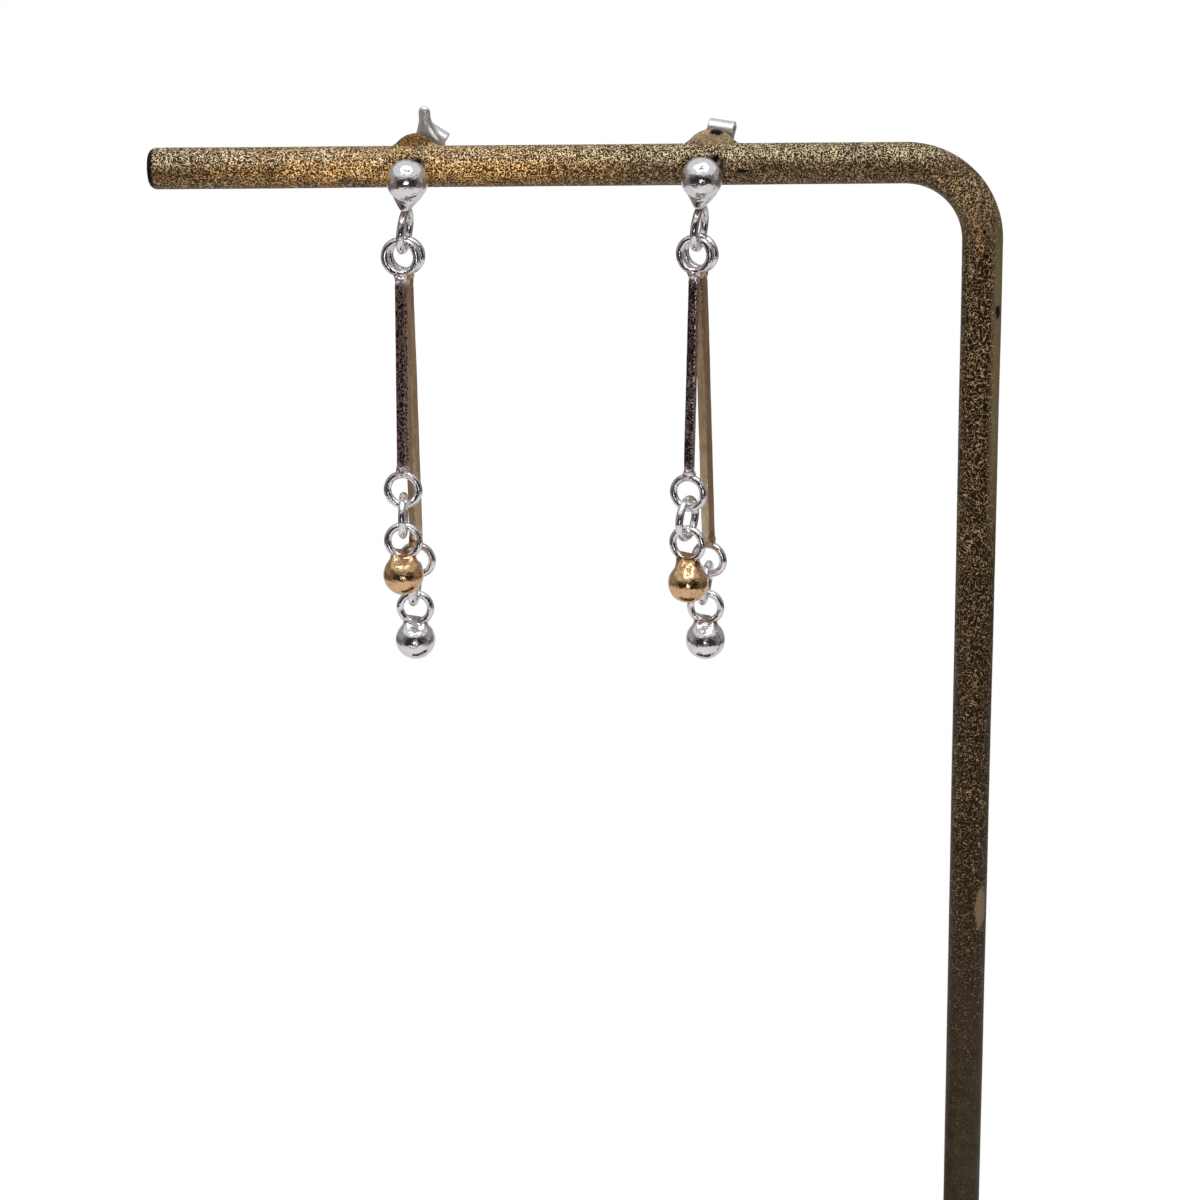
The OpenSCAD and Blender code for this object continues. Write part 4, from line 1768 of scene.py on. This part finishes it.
    def jump_ring(self, front: bool) -> bpy.types.Object:
        """Makes the jump ring below a bar.

        Args:
            front: Which of the two drops it is in.

        Returns:
            The piece.
        """
        skin = self._jump_ring(reach=1.4, amount=0.018, seed=self.seed + (14 if front else 16))
        name = f"{self.side.value}_{'front' if front else 'back'}_jump_ring"
        return skin.piece(name, self.hanging.link(front), [self.finishes.silver])

    def _ball_rows(self, front: bool, radius: float, top: float) -> list[tuple[float, ...]]:
        """Rows of a drop's ball and of the neck of solder that reaches up to its ring.

        Args:
            front: Which of the two drops it is in.
            radius: Radius of the ball.
            top: Height of the neck's upper end over the ball's middle.

        Returns:
            Height, half width, half depth and rise at the sides of each row.
        """
        leave = self.neck_from
        leave_r = sqrt(radius**2 - leave**2)
        ball_steps, neck_steps = 36, 12
        rows = []
        for step in range(1, ball_steps + 1):
            angle = (pi - acos(leave / radius)) * step / ball_steps - pi / 2
            rows.append((radius * sin(angle), radius * cos(angle), radius * cos(angle), 0.0))
        slope = -leave / leave_r
        height = top - leave
        waist = self.neck_wide[0 if front else 1]
        for step in range(1, neck_steps + 1):
            t = step / neck_steps
            half_x = leave_r + slope * height * t * (1 - t) ** 2
            half_y = half_x + (self.neck_thin - leave_r) * blend(0.0, 1.1, t)
            half_x += (waist - leave_r) * blend(0.0, 0.8, t) + self.neck_flare * blend(0.75, 1.0, t)
            rows.append((leave + height * t, half_x, half_y, self.neck_rise * t**2.2))
        return rows

    def drop_ball(self, front: bool) -> bpy.types.Object:
        """Makes one ball with its neck of solder and its ring.

        Args:
            front: Which of the two drops it is in.

        Returns:
            The piece.
        """
        hang = SIZES.ball_hang + self.hanging.drop_pose(front).ball_extra
        seed = self.seed + (20 if front else 24)
        top = hang - SIZES.eye_r
        sections = [
            self._ball_section(height - hang, half_x, half_y, rise)
            for height, half_x, half_y, rise in self._ball_rows(front, SIZES.ball_r - 0.008, top)
        ]
        skin = Skin().loft(sections, 72, End.POINT, End.FLAT)
        skin.uneven(reach=1.3, amount=0.03, seed=seed)
        skin.uneven(reach=0.55, amount=0.01, seed=seed + 30)
        skin.shade(lambda p: blend(self.neck_from - hang + 0.2, top - hang + 0.5, p.z))
        skin.colour(0)
        eye = self._eye(seed + 3).shade(lambda p: blend(-0.9, -1.6, p.z))
        if front:
            eye.colour(1)
        skin.join(eye)
        metal = "gold" if front else "silver"
        materials = [self.finishes.gold, self.finishes.silver] if front else [self.finishes.silver]
        return skin.piece(f"{self.side.value}_{metal}_ball_drop", self.hanging.ball(front), materials)

    @staticmethod
    def _ball_section(height: float, half_x: float, half_y: float, rise: float) -> Move:
        """Section of a ball or its neck, which rises at the sides to follow the ring."""
        return lambda unit: Vector((unit.x * half_x, unit.y * half_y, height + rise * unit.x**2))

    def build(self) -> None:
        """Makes this earring's pieces and sets them in the frame."""
        side = self.side.value
        hand_over(self.stud(), "stand", f"{side}_stud")
        hand_over(EarClutch(self.side, self.finishes).clutch(), f"{side}_clutch", f"{side}_clutch")
        for front in (True, False):
            body = f"{side}_{'front' if front else 'back'}_drop"
            bar, ball = ("silver", "gold") if front else ("gold", "silver")
            hand_over(self.bar(front), body, f"{side}_{bar}_bar")
            hand_over(self.jump_ring(front), body, f"{side}_{bar}_bar_link")
            hand_over(self.drop_ball(front), body, f"{side}_{ball}_ball")


@dataclass
class EarClutch:
    """Butterfly clutch: one strip with both ends curled back to grip the post.

    Attributes:
        side: Which of the pair it belongs to.
        finishes: The materials.
        half_width: Half of the strip's width at the plate.
        curl_half: Half of its width at the curls.
        grip_half: Half of its width at the grips.
        thick: Thickness of the strip.
        half_length: Distance from the plate's middle to the outside of a curl.
        plate_taper: How much narrower the plate grows on each side towards a curl.
        leg_taper: How much narrower the strip grows on each side from the curl to the grip.
        curl_r: Outer radius of a curl.
        grip_bend: Radius at which a grip turns back towards the plate.
        clear: Gap round the post.
        strip_edge: Rounding of the strip's edges.
        tongue_half: Half of the tongue's width, in the left clutch alone.
        tongue_thick: Half of its thickness.
        tongue_foot: Height over the post at which it begins.
        tongue_tip: Height of its tip.
        tongue_x: Place across of its middle.
    """

    side: Side
    finishes: Finishes
    half_width: float = 1.5
    curl_half: float = 1.3
    grip_half: float = 1.0
    thick: float = 0.32
    half_length: float = 3.15
    plate_taper: float = 0.12
    leg_taper: float = 0.25
    curl_r: float = 0.85
    grip_bend: float = 0.3
    clear: float = 0.05
    strip_edge: float = 0.14
    tongue_half: float = 0.6
    tongue_thick: float = 0.36
    tongue_foot: float = 0.9
    tongue_tip: float = 4.97
    tongue_x: float = 0.55

    def _half_path(self) -> list[tuple[float, float, float]]:
        """Middle line of the upper half of the strip, from the plate's middle to the grip's tip.

        Returns:
            Depth, height and half width of the strip at each point.
        """
        mid = self.thick / 2
        bend_r = self.curl_r - mid
        curl_z = self.half_length - self.curl_r
        grip_z = SIZES.post_r + self.clear + mid
        soft = self.grip_bend
        plate_steps, curl_steps, leg_steps, grip_steps = 14, 12, 6, 5
        path = []
        for step in range(plate_steps + 1):
            z = curl_z * step / plate_steps
            path.append((mid, z, self.half_width - self.plate_taper * blend(0.9, 2.2, z)))
        for step in range(1, curl_steps + 1):
            angle = pi * step / curl_steps
            path.append((self.curl_r - bend_r * cos(angle), curl_z + bend_r * sin(angle), self.curl_half))
        leg_y = 2 * self.curl_r - mid
        for step in range(1, leg_steps + 1):
            z = curl_z + (grip_z + soft - curl_z) * step / leg_steps
            path.append((leg_y, z, self.curl_half - self.leg_taper * step / leg_steps))
        for step in range(1, grip_steps + 1):
            angle = pi / 2 * step / grip_steps
            path.append((leg_y - soft + soft * cos(angle), grip_z + soft - soft * sin(angle), self.grip_half))
        end_y = 2 * self.curl_r - 3 * self.thick + SIZES.spare
        for step, narrow in ((1, 0.02), (2, 0.1), (3, 0.32)):
            path.append((leg_y - soft + (end_y - leg_y + soft) * step / 3, grip_z, self.grip_half - narrow))
        return path

    def clutch(self) -> bpy.types.Object:
        """Makes the clutch.

        Returns:
            The piece.
        """
        half = self._half_path()
        path = [(y, -z, w) for y, z, w in reversed(half)] + half[1:]
        sections = []
        for index, (y, z, width) in enumerate(path):
            before = path[max(0, index - 1)]
            after = path[min(len(path) - 1, index + 1)]
            along = Vector((0, after[0] - before[0], after[1] - before[1])).normalized()
            out = Vector((0, along.z, -along.y))
            sections.append(self._strip_section(Vector((0, y, z)), out, width))
        skin = Skin().loft(sections, 64, End.FLAT, End.FLAT)
        plate_hole = shift(0, self.thick / 2, 0) @ turn(90, "X")
        skin.pierce(plate_hole, SIZES.post_r + self.clear, clear=0.72, points=28)
        if self.side is Side.LEFT:
            skin.join(self._tongue(), turn(-POSES[self.side].clutch_roll, "Y"))
        skin.uneven(reach=1.5, amount=0.02, seed=71.0 if self.side is Side.LEFT else 77.0)
        skin.shade(lambda p: blend(1.0, 0.5, hypot(p.x, p.z)) * 0.6)
        place = Hanging(self.side).clutch
        return skin.piece(f"{self.side.value}_butterfly_clutch", place, [self.finishes.stamped])

    def _tongue(self) -> Skin:
        """Makes the narrow round-ended tongue that spreads into the plate at its foot.

        Returns:
            The skin.
        """
        steps = 26
        foot = self.tongue_foot
        sections = []
        for step in range(steps + 1):
            z = foot + (self.tongue_tip - 0.01 - foot) * sin(pi / 2 * step / steps)
            round_end = dome(clamp((self.tongue_tip - z) / self.tongue_half))
            spread = 1 - blend(foot, 4.0, z)
            half_x = (self.tongue_half - SIZES.spare) * round_end + spread
            half_y = self.tongue_thick * round_end
            middle = Vector((self.tongue_x + spread * 0.35, 0.1 + 0.16 * blend(1.6, 3.2, z), z))
            sections.append(self._tongue_section(middle, half_x, half_y))
        return Skin().loft(sections, 32, End.FLAT, End.POINT)

    @staticmethod
    def _tongue_section(middle: Vector, half_x: float, half_y: float) -> Move:
        """Level oval section of the tongue."""
        return lambda unit: middle + Vector((unit.x * half_x, unit.y * half_y, 0))

    def _strip_section(self, middle: Vector, out: Vector, width: float) -> Move:
        """Section of the strip with rounded edges.

        Args:
            middle: Point on the strip's middle line.
            out: Direction of the strip's thickness.
            width: Half width of the strip there.

        Returns:
            The section.
        """
        half = self.thick / 2

        def section(unit: Vector) -> Vector:
            """Takes a point of the unit circle to the strip's skin."""
            x = width * swell(cos(atan2(unit.y, unit.x)), 3.2)
            depth = half * dome(clamp((width - abs(x)) / self.strip_edge))
            return middle + Vector((x, 0, 0)) + out * (depth * (1 if unit.y >= 0 else -1))

        return section


@dataclass(frozen=True)
class BentCard:
    """A card that stands bent round the earrings.

    Attributes:
        name: Its name.
        colour: Its colour.
        row: Distance from the middle and height of its points, in metres.
        start: Angle at which it starts, in degrees from +X.
        swing: Angle that it spans.
    """

    name: str
    colour: Colour
    row: tuple[tuple[float, float], ...]
    start: float
    swing: float


@dataclass(frozen=True)
class SoftBox:
    """A rectangular lamp that faces the earrings.

    Attributes:
        name: Its name.
        at: Its place, in metres.
        size: Width and depth of its face.
        power: Its power in watts.
        mirrored: Whether polished metal shows it.
    """

    name: str
    at: Triple
    size: tuple[float, float]
    power: float
    mirrored: bool = True


@dataclass
class Studio:
    """Camera, pale floor, soft light and the dark opening that polished metal mirrors.

    Attributes:
        camera_at: Place of the camera, in metres.
        pitch: How far it looks down, in degrees.
        roll: How far it is rolled.
        lens: Focal length on a sensor 36 mm wide.
        aim: Place that lamps and cards face, in metres.
        floor_r: Radius of the floor.
        card_rough: Roughness of floor and cards.
        room: Colour of the light that the room gives.
        grey_card_at: Place of the grey card in front of the overhead lamp.
        grey_card_size: Width and depth of that card.
        cards: What stands round the earrings.
        lamps: The lamps.
    """

    camera_at: Triple = (-0.004, -0.247, 0.1859)
    pitch: float = 20.43
    roll: float = 0.46
    lens: float = 76.5
    aim: Triple = (0, 0, 0.12)
    floor_r: float = 4.0
    card_rough: float = 0.9
    room: Colour = (0.70, 0.71, 0.73)
    grey_card_at: Triple = (0.0, -0.285, 0.86)
    grey_card_size: tuple[float, float] = (0.46, 0.32)
    cards: tuple[BentCard, ...] = (
        BentCard("dark_card", DARK, ((0.24, 0.003), (0.6, 0.003), (0.6, 0.24)), -148, 116),
        BentCard("dark_card_middle", DARK, ((0.58, 0.23), (0.58, 0.33)), -132, 84),
        BentCard("dusky_card", (0.16, 0.13, 0.12), ((0.62, 0.003), (0.62, 0.40)), -165, 150),
        BentCard("brown_rug", (0.14, 0.10, 0.085), ((0.24, 0.002), (1.2, 0.002)), 130, 280),
        BentCard("grey_wall", (0.40, 0.40, 0.41), ((1.2, 0.002), (1.2, 0.75)), 0, 360),
    )
    lamps: tuple[SoftBox, ...] = (
        SoftBox("overhead", (0.0, -0.30, 0.90), (0.78, 0.52), 6.0),
        SoftBox("small_front", (-0.03, -0.46, 0.10), (0.12, 0.12), 0.11),
        SoftBox("left_fill", (-0.05, -0.12, 0.16), (0.05, 0.05), 0.07, mirrored=False),
    )

    def camera(self) -> None:
        """Sets the camera where the photograph was taken from."""
        pitch, roll = radians(self.pitch), radians(self.roll)
        ahead = Vector((0, cos(pitch), -sin(pitch)))
        up_plain = Vector((0, sin(pitch), cos(pitch)))
        right = Vector((1, 0, 0)) * cos(roll) - up_plain * sin(roll)
        up = up_plain * cos(roll) + Vector((1, 0, 0)) * sin(roll)
        data = bpy.data.cameras.new("camera")
        data.lens = self.lens
        data.sensor_width = 36
        data.clip_start = 0.01
        made = bpy.data.objects.new("camera", data)
        facing = Matrix((right, up, -ahead)).transposed().to_4x4()
        made.matrix_world = Matrix.Translation(self.camera_at) @ facing
        bpy.context.scene.collection.objects.link(made)
        bpy.context.scene.camera = made

    def floor(self) -> None:
        """Lays the pale floor, which the camera sees evenly lit."""
        bm = bmesh.new()
        bmesh.ops.create_circle(bm, cap_ends=True, radius=self.floor_r, segments=96)
        pale = self._plain("pale floor", (0.55, 0.53, 0.53))
        g = Graph(pale.node_tree)
        shader = pale.node_tree.nodes["Principled BSDF"]
        glow = g.node("ShaderNodeEmission", {"Color": (1, 1, 1, 1), "Strength": 1.0})
        lit = g.node("ShaderNodeMixShader", {
            0: g.node("ShaderNodeLightPath").outputs["Is Camera Ray"],
            1: shader.outputs[0],
            2: glow.outputs[0],
        })
        g.feed(lit.outputs[0], pale.node_tree.nodes["Material Output"].inputs["Surface"])
        self._staged(bm, "floor", pale)

    def surroundings(self) -> None:
        """Stands up what only mirror-like surfaces see: a dark opening in front and grey walls."""
        for card in self.cards:
            self._bend(card)
        bm = bmesh.new()
        facing = self._towards(self.grey_card_at).to_matrix().to_4x4()
        size = Matrix.Diagonal((*self.grey_card_size, 1, 1))
        place = Matrix.Translation(self.grey_card_at) @ facing @ size
        bmesh.ops.create_grid(bm, x_segments=1, y_segments=1, size=0.5, matrix=place)
        grey = self._plain("grey card", (0.42, 0.42, 0.43))
        self._only_mirrored(self._staged(bm, "grey_card", grey))

    def _bend(self, card: BentCard) -> None:
        """Stands up one bent card.

        Args:
            card: The card.
        """
        bm = bmesh.new()
        verts = [bm.verts.new((reach, 0, height)) for reach, height in card.row]
        edges = [bm.edges.new(pair) for pair in zip(verts, verts[1:])]
        bmesh.ops.rotate(bm, verts=verts, cent=(0, 0, 0), matrix=turn(card.start, "Z").to_3x3())
        bmesh.ops.spin(
            bm, geom=verts + edges, cent=(0, 0, 0), axis=(0, 0, 1), angle=radians(card.swing), steps=48,
            use_merge=card.swing == 360, use_duplicate=False,
        )
        material = self._plain(card.name.replace("_", " "), card.colour)
        self._only_mirrored(self._staged(bm, card.name, material))

    @staticmethod
    def _only_mirrored(card: bpy.types.Object) -> None:
        """Hides a card from all but reflections."""
        card.visible_camera = False
        card.visible_diffuse = False
        card.visible_shadow = False

    def _towards(self, at: Sequence[float]) -> Quaternion:
        """Turn that makes a card or lamp at a place face the earrings."""
        return (Vector(self.aim) - Vector(at)).to_track_quat("-Z", "Y")

    def _plain(self, name: str, colour: Colour) -> bpy.types.Material:
        """Makes a plain material for what isn't part of the object.

        Args:
            name: Its name.
            colour: Its colour.

        Returns:
            The material.
        """
        made, _, shader = new_material(name, colour)
        shader.inputs["Base Color"].default_value = (*colour, 1)
        shader.inputs["Roughness"].default_value = self.card_rough
        return made

    @staticmethod
    def _staged(bm: bmesh.types.BMesh, name: str, material: bpy.types.Material) -> bpy.types.Object:
        """Makes an object that isn't part of the earrings.

        Args:
            bm: Its mesh in the making, which is used up.
            name: Its name.
            material: Its material.

        Returns:
            The object.
        """
        mesh = bpy.data.meshes.new(name)
        bm.to_mesh(mesh)
        bm.free()
        mesh.materials.append(material)
        made = bpy.data.objects.new(name, mesh)
        bpy.context.scene.collection.objects.link(made)
        return made

    def lights(self) -> None:
        """Hangs the lamps and lights the room."""
        for lamp in self.lamps:
            self._hang(lamp)
        world = bpy.data.worlds.new("studio")
        bpy.context.scene.world = world
        world.use_nodes = True
        g = Graph(world.node_tree)
        seen = g.node("ShaderNodeLightPath").outputs["Is Camera Ray"]
        colour = g.mix(seen, self.room, (1.0, 1.0, 1.0))
        g.feed(colour, world.node_tree.nodes["Background"].inputs["Color"])
        bpy.context.scene.view_settings.view_transform = "Standard"

    def _hang(self, lamp: SoftBox) -> None:
        """Hangs one lamp.

        Args:
            lamp: The lamp.
        """
        data = bpy.data.lights.new(lamp.name, "AREA")
        data.shape = "RECTANGLE"
        data.size, data.size_y = lamp.size
        data.energy = lamp.power
        made = bpy.data.objects.new(lamp.name, data)
        made.location = lamp.at
        made.rotation_euler = self._towards(lamp.at).to_euler()
        made.visible_glossy = lamp.mirrored
        bpy.context.scene.collection.objects.link(made)

    def build(self) -> None:
        """Sets up the camera and all that stands and shines round the earrings."""
        self.camera()
        self.floor()
        self.surroundings()
        self.lights()


def main() -> None:
    """Builds the object piece by piece, then the studio."""
    logging.basicConfig(level=logging.INFO)
    noise.seed_set(UNEVENNESS)
    finishes = Finishes.made(Effects())
    RodStand(finishes).build()
    for side in Side:
        Earring(side, finishes).build()
    Studio().build()


if __name__ == "__main__":
    main()
